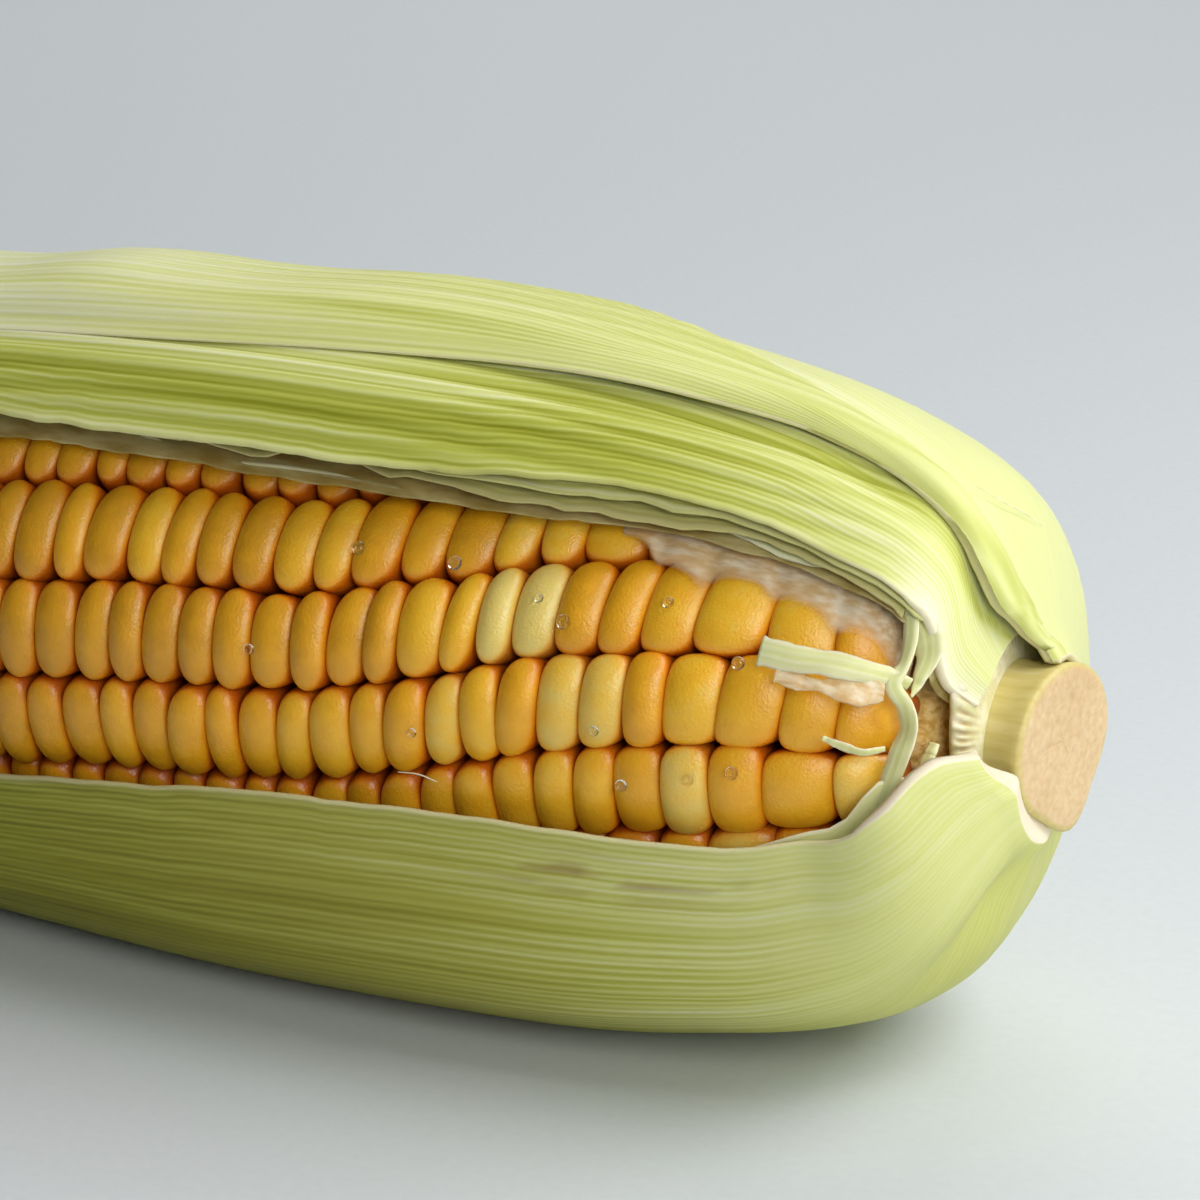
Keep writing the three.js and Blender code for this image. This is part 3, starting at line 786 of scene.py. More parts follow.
# %% [markdown]
# ## From a sheet to a closed shell
# A real leaf has two faces and a rounded rim. Solidify would make that too, but it can't thicken a
# leaf towards its base or slice its end. So the two faces are worked out here, half a thickness to
# each side of the middle sheet, and one more line of points round the rim joins them.

# %% The shell
SLICE_THROUGH = 1.7  # half thicknesses that a slanting slice takes off the outer face
PRESSED_HEIGHT = 0.6  # mm, least height of the inner face of a leaf that lies on the surface


def rim_of(rows, columns):
    """The indices of a grid's outermost points, in order round it, and of the points next to them
    further in."""
    index = np.arange(rows * columns).reshape(rows, columns)
    loop = np.r_[index[0, :-1], index[:-1, -1], index[-1, :0:-1], index[:0:-1, 0]]
    inward = np.r_[index[1, :-1], index[:-1, -2], index[-2, :0:-1], index[:0:-1, 1]]
    return loop, inward


def shell_faces(rows, columns, loop):
    """Quads of the outer face, of the inner face turned over, and of two strips round the rim. The
    points are the outer face's, then the inner face's, then the rim's."""
    count = rows * columns
    index = np.arange(count).reshape(rows, columns)
    corners = [index[:-1, :-1], index[1:, :-1], index[1:, 1:], index[:-1, 1:]]
    face = np.stack(corners, -1).reshape(-1, 4)
    ring = 2 * count + np.arange(len(loop))
    following = np.roll(np.arange(len(loop)), -1)
    outer_rim = np.stack([loop, loop[following], ring[following], ring], -1)
    inner_rim = np.stack([ring, ring[following], loop[following] + count, loop + count], -1)
    return np.vstack([face, face[:, ::-1] + count, outer_rim, inner_rim])


def leaf_shell(middle, normal, half, sliced, pressed, rim):
    """The shell's points, its faces and the order of its rim. The outer face lies at middle + normal
    * half * (1 - slice), the inner one at middle - normal * half, and the rim stands out by rim *
    half. A pressed leaf doesn't go below the surface that it lies on."""
    outer = middle + normal * half * (1 - SLICE_THROUGH * sliced)
    inner = middle - normal * half
    if pressed:
        outer[..., 2] = np.maximum(outer[..., 2], 0)
        inner[..., 2] = np.maximum(inner[..., 2], PRESSED_HEIGHT)
    rows, columns = middle.shape[:2]
    loop, inward = rim_of(rows, columns)
    flat_middle = ((outer + inner) / 2).reshape(-1, 3)
    away = flat_middle[loop] - flat_middle[inward]
    away /= np.linalg.norm(away, axis=1, keepdims=True) + 1e-9
    lip = flat_middle[loop] + away * half.reshape(-1, 1)[loop] * rim
    if pressed:
        lip[:, 2] = np.maximum(lip[:, 2], 0)
    faces = shell_faces(rows, columns, loop)
    facing = np.cross(outer[1:, :-1] - outer[:-1, :-1], outer[1:, 1:] - outer[:-1, :-1])
    if (facing * normal[:-1, :-1]).sum() < 0:
        faces = faces[:, ::-1]
    return np.vstack([outer.reshape(-1, 3), inner.reshape(-1, 3), lip]), faces, loop


print("A sheet of 3 by 4 points closes into", len(shell_faces(3, 4, rim_of(3, 4)[0])), "faces")

# %% [markdown]
# ## One function for every leaf
# The same function makes every leaf. What differs from leaf to leaf is handed in: its layer, its two
# margins, and its thickness, relief and colour, as a number or as a function over the whole sheet.
# It also writes the numbers that the finish reads, such as how pale or how brown the leaf is there.

# %% The leaf
def leaf(name, finish, slot, stands_for, *, share, start, end, near=0.0, far=15.0, across, along,
         thick=0.5, lift=None, relief=None, ragged=None, ragged_side="start", trim=None,
         pressed=False, pale=0.5, brown=0.0, rim=0.7, rim_white=0.55, calm=0.75, slant=0.0):
    """The middle sheet is the husk's point at station near..far and angle start..end, at layer share
    plus lift, moved by relief along its normal. start and end may be functions of x. thick, lift,
    relief, pale, brown and rim_white may be functions of x, angle, the share across and the length
    along in mm. trim draws the near end back, slant slices it over so many mm, rim is how far the rim
    stands out in half thicknesses, and calm fades the veins towards the stem."""
    run, w, x, angle, span = leaf_grid(start, end, near, far, across, along, ragged, ragged_side)
    given = (x + 0 * w, angle, w + 0 * x, run + 0 * w)

    def number(value):
        return value(*given) if callable(value) else value + 0 * given[0]

    t = np.interp(run, table_length, table_t)
    back = 0 * angle
    if trim:
        back = trim(angle) * np.clip(1 - (t * STATIONS - near) / (far - near) / 0.4, 0, 1)
    at_share = share + (number(lift) if lift else 0)
    middle = in_husk(t + back / STATIONS, at_share, angle)
    out = on_ear(0 * x, 1.0, angle) - on_ear(0 * x, 0.0, angle)
    if relief:
        middle = middle + sheet_normals(middle, out) * number(relief)[..., None]
    half = (number(thick) / 2)[..., None]
    sliced = (slant > 0) * np.clip(1 - (run - run[0]) / max(slant, 0.01), 0, 1)
    points, faces, loop = leaf_shell(
        middle, sheet_normals(middle, out), half, sliced[..., None], pressed, rim)

    uv = np.stack([w * span + 0 * run, run + 0 * w], -1).reshape(-1, 2)
    near_edge = np.minimum(w, 1 - w) * span
    white = number(rim_white)
    edge = np.exp(-near_edge / 0.3) * 0.5 * noise(run / 6, 0.5, 1) + 0 * x
    edge = np.maximum(edge, white * (sliced > 0.02))
    veined = 1 - calm * smooth_step(90, 110, x + 0 * w)

    def to_all(values):
        return np.r_[values.ravel(), values.ravel(), values.ravel()[loop]]

    edges = to_all(edge)
    edges[loop] = edges[loop + angle.size] = edges[2 * angle.size:] = white.ravel()[loop]
    make_piece(name, points, faces.tolist(), finish, slot, stands_for,
               uv=np.vstack([uv, uv, uv[loop]]), edge=edges, pale=to_all(number(pale)),
               brown=to_all(number(brown)), veined=to_all(veined))
    length = distance_along(middle[:, middle.shape[1] // 2])[-1]
    print(name, "is", round(float(length)), "mm long down its middle, with", len(points), "points")


print("Each leaf gets the numbers pale, brown, edge and veined, and a map of its own")

# %% [markdown]
# ## Ribs and torn margins
# Two patterns are shared by most leaves. Ribs run along the blade about every 2 mm, and no two are
# spaced alike. A torn margin wanders on three scales at once: long bends, short ones, and a fine
# fringe. A leaf that touches the kernels is also drawn in towards them near its margin.

# %% Ribs and torn margins
def pleats(width, run, seed):
    """Ribs along a leaf, 0 to 1: a wave about every 2.2 mm across, whose spacing wanders, mixed
    with narrower streaks that come and go along the leaf."""
    wander = noise(width / 7, run / 80, seed) * 2.6
    wave = 0.5 + 0.5 * np.cos(2 * np.pi * (width / 2.2 + wander))
    streak = noise(width / 0.9, run / 45, seed + 1)
    return 0.55 * wave + 0.45 * streak


def ribs_of(angle, run, seed):
    """Ribs from -0.5 to 0.5 over a leaf above the opening, where a degree is about half a mm."""
    return pleats((angle - 40) * 0.5, run, seed) - 0.5


def torn(scale, seed):
    """A ragged margin: noise 11 mm, 3 mm and 1 mm long, up to 1.3 times scale degrees each way."""
    def offset(run):
        long_wave = noise(run / 11, 0.5, seed + 2) - 0.5
        slow = noise(run / 3.1, 0.5, seed) - 0.5
        quick = noise(run / 0.9, 0.5, seed + 1) - 0.5
        return scale * (1.2 * long_wave + 0.9 * slow + 0.5 * quick)
    return offset


def hugging(margin, amount, reach):
    """Sinks a leaf's layer by amount at its margin, easing out over reach degrees."""
    def lift(x, angle, w, run):
        return -amount * (1 - smooth_step(0, reach, angle - margin(x)))
    return lift


sample = torn(1.0, 21)(np.linspace(0, 100, 500))
print("A torn margin of scale 1 wanders by", round(float(np.ptp(sample)), 2), "degrees")

# %% [markdown]
# ## The ribbed green leaf
# The broad leaf above the opening is the greenest, with strong ribs. Its lower margin is torn and
# sinks towards the kernels, and it runs on down to the stem, where it is thick, pale and smooth. A
# groove follows the margin of the leaf above it. Each of these is one short function over the
# sheet, so each can be changed without touching the others.

# %% Ribbed leaf
def green_margin(x):
    """The upper margin, drawn 2.2 degrees lower away from the stem."""
    return upper_margin(x) - 2.2 * (1 - smooth_step(55, 90, x))


def ribbed_lift(x, angle, w, run):
    """Sinks by 0.18 at the margin, over 14 degrees, and by 0.3 round the shoulder."""
    sink = -0.18 * (1 - smooth_step(0, 14, angle - green_margin(x)))
    return sink - 0.3 * smooth_step(109.5, 115.5, x)


def ribbed_thick(x, angle, w, run):
    """0.45 mm, and up to 0.6 mm more at the margin beside the stem."""
    return 0.45 + 0.6 * bump_at(0, 7, angle - upper_margin(x)) * smooth_step(109, 113, x)


def ribbed_relief(x, angle, w, run):
    """Ribs 0.42 mm high, less a groove 0.8 mm deep before the leaf above, calm at the stem."""
    groove = bump_at(-4, 3.6, angle - crest_margin(x)) * smooth_step(55, 90, x)
    calm = 1 - smooth_step(102, 110, x)
    return calm * (ribs_of(angle, run, 11) * 0.42 * smooth_step(0, 0.05, w) - 0.8 * groove)


def ribbed_pale(x, angle, w, run):
    """Pale at the tip and the stem, with paler ribs. Painted shade makes it darker green by the
    margin, where the leaf curls in, and in the groove under the leaf above.
    """
    base = 0.8 - 0.11 * smooth_step(0, 95, x) + 0.08 * smooth_step(105, 113, x)
    base = base + 0.22 * bump_at(0, 6, angle - upper_margin(x)) * smooth_step(107, 112, x)
    # Painted shade: darker green where the leaf curls in above its margin, and in the groove under the
    # top leaf.
    shade = 0.34 * bump_at(6, 8, angle - upper_margin(x)) * (1 - smooth_step(80, 108, x))
    groove = 0.22 * bump_at(-3, 2.5, angle - crest_margin(x)) * smooth_step(40, 80, x)
    ribs = 0.3 * ribs_of(angle, run, 11) * (1 - smooth_step(104, 112, x))
    return base + ribs - shade - groove


leaf("ribbed_leaf", green_leaf, "husk_green", ["upper_leaf_ribbed"], share=0.7,
     start=green_margin, end=132, near=0.9, across=108, along=200, thick=ribbed_thick,
     lift=ribbed_lift, relief=ribbed_relief, ragged=torn(1.0, 21), pale=ribbed_pale, calm=0.45,
     rim_white=lambda x, angle, w, run: 0.2 + 0.45 * smooth_step(95, 110, x))

# %% [markdown]
# ## The top leaf
# The outermost leaf lies along the top. It is pale and ribbed, and its margin stands up in a whitish
# crest near the stem, but lies flush with the green leaf farther out. Two slow waves give it the
# rise and fall of a leaf that has begun to dry.

# %% Top leaf
def top_lift(x, angle, w, run):
    """Sinks by 0.19 where the margin lies flush, and by 0.14 where it curls in near the stem."""
    inside = angle - crest_margin(x)
    flush = (1 - smooth_step(0, 12, inside)) * (1 - smooth_step(60, 98, x))
    curl = (1 - smooth_step(0, 3.5, inside)) * smooth_step(75, 98, x)
    return -0.19 * flush - 0.14 * curl


def top_relief(x, angle, w, run):
    """A crest 0.6 mm high by the margin, ribs 0.3 mm high, and two waves along the leaf."""
    inside = angle - crest_margin(x)
    crest = bump_at(5, 4, inside) * smooth_step(35, 95, x) * (1 - smooth_step(108, 113.5, x))
    ribs = ribs_of(angle, run, 12) * 0.3 * smooth_step(0, 0.1, w)
    wavy = 0.8 * bump_at(22, 8, x) - 0.5 * bump_at(42, 9, x)
    return 0.6 * crest + ribs * (1 - smooth_step(104, 112, x)) + wavy * smooth_step(2, 20, inside)


def top_pale(x, angle, w, run):
    """Pale all over, paler on the crest and the ribs, and palest towards the tip."""
    inside = angle - crest_margin(x)
    crest = bump_at(5, 4.5, inside) * smooth_step(40, 100, x)
    tipward_pale = 0.24 * (1 - smooth_step(0, 70, x))
    return 0.61 + tipward_pale + 0.1 * crest + 0.2 * ribs_of(angle, run, 12)


def top_thick(x, angle, w, run):
    """0.25 mm at the tip, 0.5 mm near the stem and 1 mm round the shoulder."""
    return 0.25 + 0.25 * smooth_step(50, 90, x) + 0.5 * smooth_step(104, 113, x)


leaf("top_leaf", pale_leaf, "husk_pale", ["outer_top_leaf"], share=0.94, start=crest_margin,
     end=top_leaf_edge, across=56, along=220, lift=top_lift, relief=top_relief, pale=top_pale,
     thick=top_thick)

# %% [markdown]
# ## The side leaf
# Beyond the top leaf a smooth pale leaf wraps over to the back. It starts 6 degrees under the top
# leaf's edge, so no gap can open between them, and its ribs are hardly felt.

# %% Side leaf
leaf("side_leaf", pale_leaf, "husk_pale", ["outer_side_leaf"], share=0.83,
     start=lambda x: top_leaf_edge(x) - 6, end=226, across=64, along=130,
     thick=lambda x, angle, w, run: 0.5 + 0.5 * smooth_step(108, 115, x),
     lift=lambda x, angle, w, run: 0.1 * smooth_step(80, 100, x) * bump_at(90, 30, angle),
     relief=lambda x, angle, w, run: (pleats(angle * 0.5, run, 13) - 0.5) * 0.08,
     pale=lambda x, angle, w, run: 0.77 - 0.2 * (1 - smooth_step(-60, 90, x)))

# %% [markdown]
# ## The two leaves under them
# Below the green leaf's margin two more show, each torn a little further back or forward than the
# next, and browned, partly as real drying and partly as painted shade for the dark band under the
# green leaf. The inner ones of a real husk are thinner and paler, because no light reaches them.

# %% Middle and inner leaf
def middle_margin(x):
    """The upper margin, 1.5 degrees higher, but 1 degree lower near the stem."""
    return upper_margin(x) + 1.5 - 2.5 * smooth_step(55, 80, x)


def inner_margin(x):
    """The upper margin, 0.8 degrees higher, but 2.4 degrees lower near the stem."""
    return upper_margin(x) + 0.8 - 3.2 * smooth_step(60, 85, x)


# The brown of these two leaves is partly painted shade, for the dark band under the green leaf's
# margin.
leaf("middle_leaf", green_leaf, "husk_green", ["upper_leaf_middle"], share=0.48,
     start=middle_margin, end=178, near=3.4, far=14, across=52, along=150, thick=0.35,
     lift=hugging(middle_margin, 0.12, 14), ragged=torn(2.2, 31), brown=0.2, rim_white=0.12,
     relief=lambda x, angle, w, run: ribs_of(angle, run, 14) * 0.25,
     pale=lambda x, angle, w, run: 0.5 + 0.25 * bump_at(0, 3, angle - middle_margin(x)))
leaf("inner_leaf", pale_leaf, "husk_pale", ["upper_leaf_inner"], share=0.27,
     start=inner_margin, end=205, near=3.8, far=13, across=46, along=140, thick=0.3,
     lift=hugging(inner_margin, 0.06, 14), ragged=torn(3.2, 41), pale=0.7, brown=0.42,
     rim_white=0.15)

# %% [markdown]
# ## The back leaf
# Behind, one broad leaf closes the husk between the side leaf and the lower one. It is plain: it
# needs only its ribs and a colour that pales towards the stem.

# %% Back leaf
leaf("back_leaf_blade", green_leaf, "husk_green", ["back_leaf"], share=0.7, start=140, end=246,
     far=14, across=48, along=120, thick=0.5,
     relief=lambda x, angle, w, run: (pleats(angle * 0.5, run, 15) - 0.5) * 0.12,
     pale=lambda x, angle, w, run: 0.45 + 0.3 * smooth_step(80, 114, x))

# %% [markdown]
# ## The front lower leaf
# This leaf wraps under the ear and carries its weight, so it is pressed flat where it touches the
# surface. Its cut end stands free at the stem, thick and white, with a fold below the stem, and its
# upper margin is a torn edge against the kernels. Its angles run past 360 degrees, because it
# starts behind the ear and comes round underneath.

# %% Front lower leaf
def front_margin(x):
    """The lower margin, one turn on."""
    return lower_margin(x) + 360


def front_lift(x, angle, w, run):
    """Sinks by 0.7 towards its upper margin, over 42 degrees, except at the stem."""
    return -0.7 * (1 - smooth_step(104, 113, x)) * (1 - smooth_step(0, 42, front_margin(x) - angle))


def front_relief(x, angle, w, run):
    """Veins 0.12 mm high, and a fold 1.5 mm deep below the stem."""
    veins = (noise(angle / 1.6, run / 70, 51) - 0.5) * 0.12 * (1 - smooth_step(90, 106, x))
    fold = bump_at(298, 10, angle) * smooth_step(107, 113.5, x)
    return veins - 1.5 * fold * (1 - smooth_step(114.8, 116.4, x))


def front_pale(x, angle, w, run):
    """Green at the tip and pale at the stem, streaked along the leaf, and painted shade makes it
    greener underneath.
    """
    along_leaf = 0.27 + 0.47 * smooth_step(15, 108, x)
    streak = 0.6 * noise(angle / 1.1, run / 45, 52) + 0.4 * noise(angle / 3, run / 60, 54) - 0.5
    # Painted shade: greener and darker on the underside, which faces away from the lamps.
    under = 0.12 * (1 - smooth_step(290, 335, angle))
    along_leaf = along_leaf - 0.07 * bump_at(62, 32, x)
    return along_leaf + 0.2 * streak * (1 - 0.7 * smooth_step(85, 108, x)) - under


def front_brown(x, angle, w, run):
    """Lightly browned at the middle, with a few bruised streaks below the opening."""
    band = bump_at(337, 4, angle) * bump_at(87, 10, x)
    middle_brown = 0.26 * bump_at(60, 42, x)
    return middle_brown + 0.65 * band * smooth_step(0.45, 0.75, noise(angle / 0.5, run / 9, 53))


def front_thick(x, angle, w, run):
    """0.5 mm, and up to 1.5 mm more at the cut end."""
    base = 0.9 * smooth_step(108, 113, x) + 0.6 * smooth_step(114, 117, x)
    return 0.5 + base * smooth_step(255, 285, angle)


leaf("front_leaf", green_leaf, "husk_green", ["front_lower_leaf"], share=0.945, start=214,
     end=front_margin, across=96, along=170, ragged=torn(0.7, 55), ragged_side="end",
     thick=front_thick, lift=front_lift, relief=front_relief, pale=front_pale, brown=front_brown,
     pressed=True, rim=0.25, slant=1.35,
     rim_white=lambda x, angle, w, run: 0.4 + 0.55 * smooth_step(106, 112, x),
     trim=lambda angle: 1.5 * smooth_step(343, 373, angle))

# %% [markdown]
# ## The two leaves inside the lower one
# They line the lower leaf and cup the kernels. Only the innermost shows, as a thin pale line along
# the opening, so both can stay smooth.

# %% Inner lower leaves
inner_lower_margin = smooth_line([
    [-60, 326], [70, 338], [97, 343], [104, 349], [108, 352], [111, 362],
])
leaf("lower_middle_leaf", pale_leaf, "husk_pale", ["lower_leaf_middle"], share=0.46, start=212,
     end=lambda x: front_margin(x) - 30, far=13, across=30, along=80, pale=0.6)
leaf("lower_inner_leaf", pale_leaf, "husk_pale", ["lower_leaf_inner"], share=0.085, start=209,
     end=inner_lower_margin, near=1, far=13, across=48, along=110, thick=0.3, pale=0.8)

# %% [markdown]
# ## Film finish
# Between the leaves and the kernels lies a thin damp membrane, grey-brown and partly see-through,
# and a paler, grainy film sticks to the kernels. Both are leaf tissue one or two cells thick. So one
# finish makes them: noise drawn out along the ear gives grains, and where the grains are dense the
# skin is lighter and covers more. A number on the mesh thins it out towards an edge. Real grains
# are some 0.3 mm wide. They are drawn about twice as wide, so that they show.

# %% Film finish
def film_finish(name, dark, light, cover_low, cover_high, grain):
    """A damp skin with noise of the given scale per metre. It covers between cover_low and
    cover_high of what lies behind, more where the noise is high."""
    finish, tree, surface = new_finish(name)
    place = add(tree, "TexCoord").outputs["Object"]
    drawn_out = add(tree, "Mapping", {"Vector": place, "Scale": (0.3, 1, 1)}).outputs[0]
    grains = add(tree, "TexNoise", {
        "Vector": drawn_out, "Scale": grain, "Detail": 4,
    }).outputs["Fac"]
    colour = add(tree, "ValToRGB", {"Fac": grains}, stops=[
        (0, dark), (0.4, dark), (0.62, light), (1, light),
    ]).outputs["Color"]
    brown = add(tree, "Attribute", attribute_name="brown").outputs["Fac"]
    colour = add(tree, "Mix", {0: brown, 6: colour, 7: "#9c7426"}, data_type="RGBA").outputs[2]
    cover = add(tree, "MapRange", {"Value": grains, "From Min": 0.35, "From Max": 0.65,
                                   "To Min": cover_low, "To Max": cover_high}).outputs[0]
    thin = add(tree, "Attribute", attribute_name="thin").outputs["Fac"]
    cover = add(tree, "Mix", {0: thin, 2: cover, 3: 0.0}).outputs[0]
    relief = add(tree, "Bump", {"Height": grains, "Strength": 0.2, "Distance": 0.0001}).outputs[0]
    body = add(tree, "BsdfPrincipled", {
        "Base Color": colour, "Roughness": 0.42, "Alpha": cover, "Normal": relief,
        "Subsurface Weight": 0.3, "Subsurface Radius": (1.0, 0.8, 0.5), "Subsurface Scale": 0.001,
    })
    tree.links.new(body.outputs[0], surface)
    return finish


membrane_skin = film_finish("damp_husk_membrane", "#ac9a56", "#cabc82", 0.5, 0.8, 500)
kernel_film_skin = film_finish("grainy_kernel_film", "#f3cf94", "#fdeac4", 0.55, 0.8, 1500)
torn_fibre = film_finish("torn_leaf_fibre", "#dcd6a2", "#ede7c6", 1.0, 1.0, 900)
print("Film finishes:", membrane_skin.name, "and", kernel_film_skin.name)

# %% [markdown]
# ## The membrane
# The membrane lies on the kernels, just under the leaves, and reaches 1 to 4 degrees farther down
# than they do. It is a leaf like the others, only thin, torn and wrinkled.

# %% Membrane
def film_margin(x):
    """The upper margin, 3.4 degrees lower."""
    return upper_margin(x) - 3.4


leaf("membrane", membrane_skin, "husk_film", ["husk_membrane"], share=0.07, start=film_margin,
     end=150, near=1.4, far=13, across=44, along=150, thick=0.18, ragged=torn(1.6, 61),
     relief=lambda x, angle, w, run: 0.3 * (noise(run / 6, angle / 4, 62) - 0.5))

# %% [markdown]
# ## The film on the first kernels
# A scrap of film clings to the kernels nearest the stem and dips into the grooves between them. It
# is a grid between two lines along the ear, closed underneath 0.12 mm lower. Its lower edge reaches
# down each groove and thins out to next to nothing, so no cut edge shows.

# %% Kernel film
film_low = smooth_line([
    [83, 52], [86, 47.5], [90, 42], [93.4, 43.2], [97.4, 42.8], [100.7, 40.5], [103.4, 38.7],
    [106.2, 37.4], [107.8, 34], [109.2, 29],
])
film_high = smooth_line([[83, 53], [90, 55], [97, 56], [104, 55], [107.6, 52], [109.2, 49]])
FILM_ALONG = 90
FILM_ACROSS = 16
film_x = np.linspace(83.2, 109.2, FILM_ALONG + 1)[:, None]
film_w = np.linspace(0, 1, FILM_ACROSS + 1)[None, :]
grooves = np.array(MEETINGS[1])
film_edge = 1.2 * (noise(film_x / 1.7, 0.5, 71) - 0.5)
film_edge = film_edge - 2.2 * bump_at(grooves, 1.0, film_x).sum(1, keepdims=True)
film_edge = film_edge + 1.2
film_width = film_high(film_x) - film_low(film_x) - film_edge
film_angle = film_low(film_x) + film_edge + film_width * film_w
film_r = crown_radius(film_x) + 0.2 + 0.15 * noise(film_x / 2.5, film_angle / 5, 72)
film_r = film_r - 0.3 * bump_at(grooves, 0.9, film_x).sum(1, keepdims=True)
film_face = on_ear(film_x, film_r, film_angle)
film_under = on_ear(film_x, film_r - 0.12, film_angle)
film_rings = np.concatenate([film_face, film_under[:, ::-1]], axis=1)
film_thin = np.broadcast_to(0.9 * (1 - smooth_step(0, 0.3, film_w)), film_r.shape)
film_thin = np.r_[np.concatenate([film_thin, film_thin[:, ::-1]], axis=1).ravel(), 0.9, 0.9]
make_piece("grainy_film", closed_rings(film_rings), tube_faces(*film_rings.shape[:2]),
           kernel_film_skin, "husk_film", ["kernel_film"], thin=film_thin)
print("Film over", round(float(np.ptp(film_x)), 1), "mm of the ear")

# %% [markdown]
# ## Torn ribbons
# Where leaves were torn off they left scraps: a strip on the kernels, a ribbon round their base, a
# pointed tooth, a tongue and three smaller ones. Each is a thin ellipse carried along a path, whose
# width and roll change on the way. A flat strip would look like paper. Real scraps are round at their
# edges, and paler there, because the tear lays the leaf's inside open.

# %% A ribbon
RIBBON_RINGS = 60
RIBBON_SIDES = 12


def ribbon(name, slot, stands_for, stops, widths, thick, seed, flutter=0.2, finish=pale_leaf):
    """A ribbon through stops of (x, radius, angle, roll): roll is how far it is turned about its own
    path, in degrees from lying flat on the ear. widths are [share of the length, mm] pairs."""
    s = np.linspace(0, 1, len(stops))
    u = np.linspace(0, 1, RIBBON_RINGS)
    columns = np.array(stops, float).T
    x, radius, angle, roll = (smooth_line(np.stack([s, column], -1))(u) for column in columns)
    radius = radius + flutter * (noise(u * 14, 0.5, seed) - 0.5)
    path = on_ear(x, radius, angle)
    out = on_ear(0 * x, 1.0, angle) - on_ear(0 * x, 0.0, angle)
    along = np.gradient(path, axis=0)
    along /= np.linalg.norm(along, axis=1, keepdims=True)
    flat = np.cross(out, along)
    roll = np.radians(roll)[:, None]
    side = flat * np.cos(roll) + out * np.sin(roll)
    half = smooth_line(widths)(u) / 2 * (1 + 0.25 * (noise(u * 20, 0.5, seed + 1) - 0.5))
    grid = swept(path, half, thick / 2, side, sides=RIBBON_SIDES)
    round_it = np.cos(np.arange(RIBBON_SIDES) * 2 * np.pi / RIBBON_SIDES)[None, :]
    length = distance_along(path)[:, None]
    uv = np.stack([round_it * half[:, None], length + 0 * round_it], -1).reshape(-1, 2)
    uv = np.vstack([uv, [[0, 0], [0, length[-1, 0]]]])
    edge = np.r_[(0.6 * smooth_step(0.7, 1, abs(round_it)) + 0 * length).ravel(), 0.6, 0.6]
    count = len(uv)
    make_piece(name, closed_rings(grid), tube_faces(*grid.shape[:2]), finish, slot, stands_for,
               uv=uv, edge=edge, pale=np.full(count, 0.82), brown=np.zeros(count),
               veined=np.full(count, 0.8))
    print(name, "is", round(float(length[-1, 0]), 1), "mm long")


print("A ribbon has", RIBBON_RINGS * RIBBON_SIDES + 2, "points")

# %% [markdown]
# ## The seven scraps
# The strip lies on the first kernels and curls up where it leaves them. The band runs round their
# base, and the tooth stands between it and the leaves above. The other four are what is left beside
# them. Each is a list of a few stops, so a bend is moved by changing one line.

# %% Ribbons
ribbon("torn_strip_blade", "husk_film", ["torn_strip"], [
    (98.6, 21.9, 29.2, 4), (101.5, 21.6, 28.8, 6), (104.5, 21.0, 29.2, -4), (107.0, 20.0, 29.2, 6),
    (109.2, 18.4, 29.4, 20), (110.3, 17.4, 29.0, 40),
], [[0, 2.4], [0.5, 2.2], [0.8, 1.6], [1, 1.2]], 0.5, 81)
ribbon("base_band", "husk_pale", ["torn_base_band"], [
    (106.0, 20.8, 55, 0), (108.6, 19.0, 50.5, 10), (109.5, 18.1, 42.8, 15),
    (109.7, 18.0, 34.3, 20), (109.3, 18.5, 27.8, -15), (110.2, 17.2, 23.0, 10),
    (110.6, 16.6, 17, 25), (110.3, 17.0, 10.2, 15), (109.9, 17.6, 3.4, 10), (109.3, 18.3, -6, 10),
], [[0, 1.6], [0.3, 1.5], [0.5, 1.5], [0.65, 2.3], [0.8, 2.1], [1, 1.4]], 0.5, 83)
ribbon("tooth", "husk_pale", ["torn_tooth"], [
    (106.6, 18.9, 55, 0), (109.0, 18.2, 50, 10), (110.5, 17.2, 44, 10), (111.1, 16.8, 38, 10),
    (110.9, 17.0, 31, 5), (110.7, 17.3, 25.7, 0),
], [[0, 2.2], [0.4, 2.8], [0.6, 2.4], [0.8, 1.3], [1, 0.15]], 0.5, 85)
ribbon("tongue", "husk_pale", [], [
    (111.6, 13.0, 12, 20), (111.4, 14.0, 6, 25), (111.2, 14.6, 0, 30), (111.0, 15.0, -7, 30),
], [[0, 1.2], [0.5, 1.8], [1, 1.9]], 0.5, 87)
ribbon("under_strip", "husk_film", [], [
    (100.2, 21.6, 24.6, 8), (103.0, 21.0, 24.0, 0), (106.0, 20.3, 24.4, -8),
    (108.9, 18.9, 25.2, 10),
], [[0, 1.2], [0.25, 1.5], [0.45, 1.0], [0.62, 2.3], [0.85, 2.5], [1, 1.4]], 0.3, 88,
       finish=kernel_film_skin)
ribbon("flap_edge", "husk_pale", [], [
    (88.5, 23.2, 57, 0), (91.5, 23.0, 55.6, 15), (95.0, 22.6, 54.2, -5), (98.7, 22.0, 52.4, 10),
    (102.0, 21.5, 52.6, 0), (104.5, 20.9, 51.6, 10),
], [[0, 0.5], [0.4, 1.1], [0.8, 1.3], [1, 0.3]], 0.25, 94)
ribbon("base_curl", "husk_film", [], [
    (104.8, 20.6, 12.4, 0), (106.4, 20.0, 11.0, 20), (108.0, 19.3, 10.0, 30),
    (109.4, 18.2, 11.2, 20),
], [[0, 0.4], [0.4, 0.9], [1, 0.5]], 0.25, 89)

# %% [markdown]
# ## The collar ring
# Round the stem sits the stump of the inner leaves that were torn off: a frilly, whitish ring. On
# the side of the stem their fibres stand like the teeth of a comb, about one to every 5 degrees, and
# the gaps between them have browned. It is a ring bent over a hump, as a grid of ring after ring
# from the cob to the stem, so it is built like the cob was.

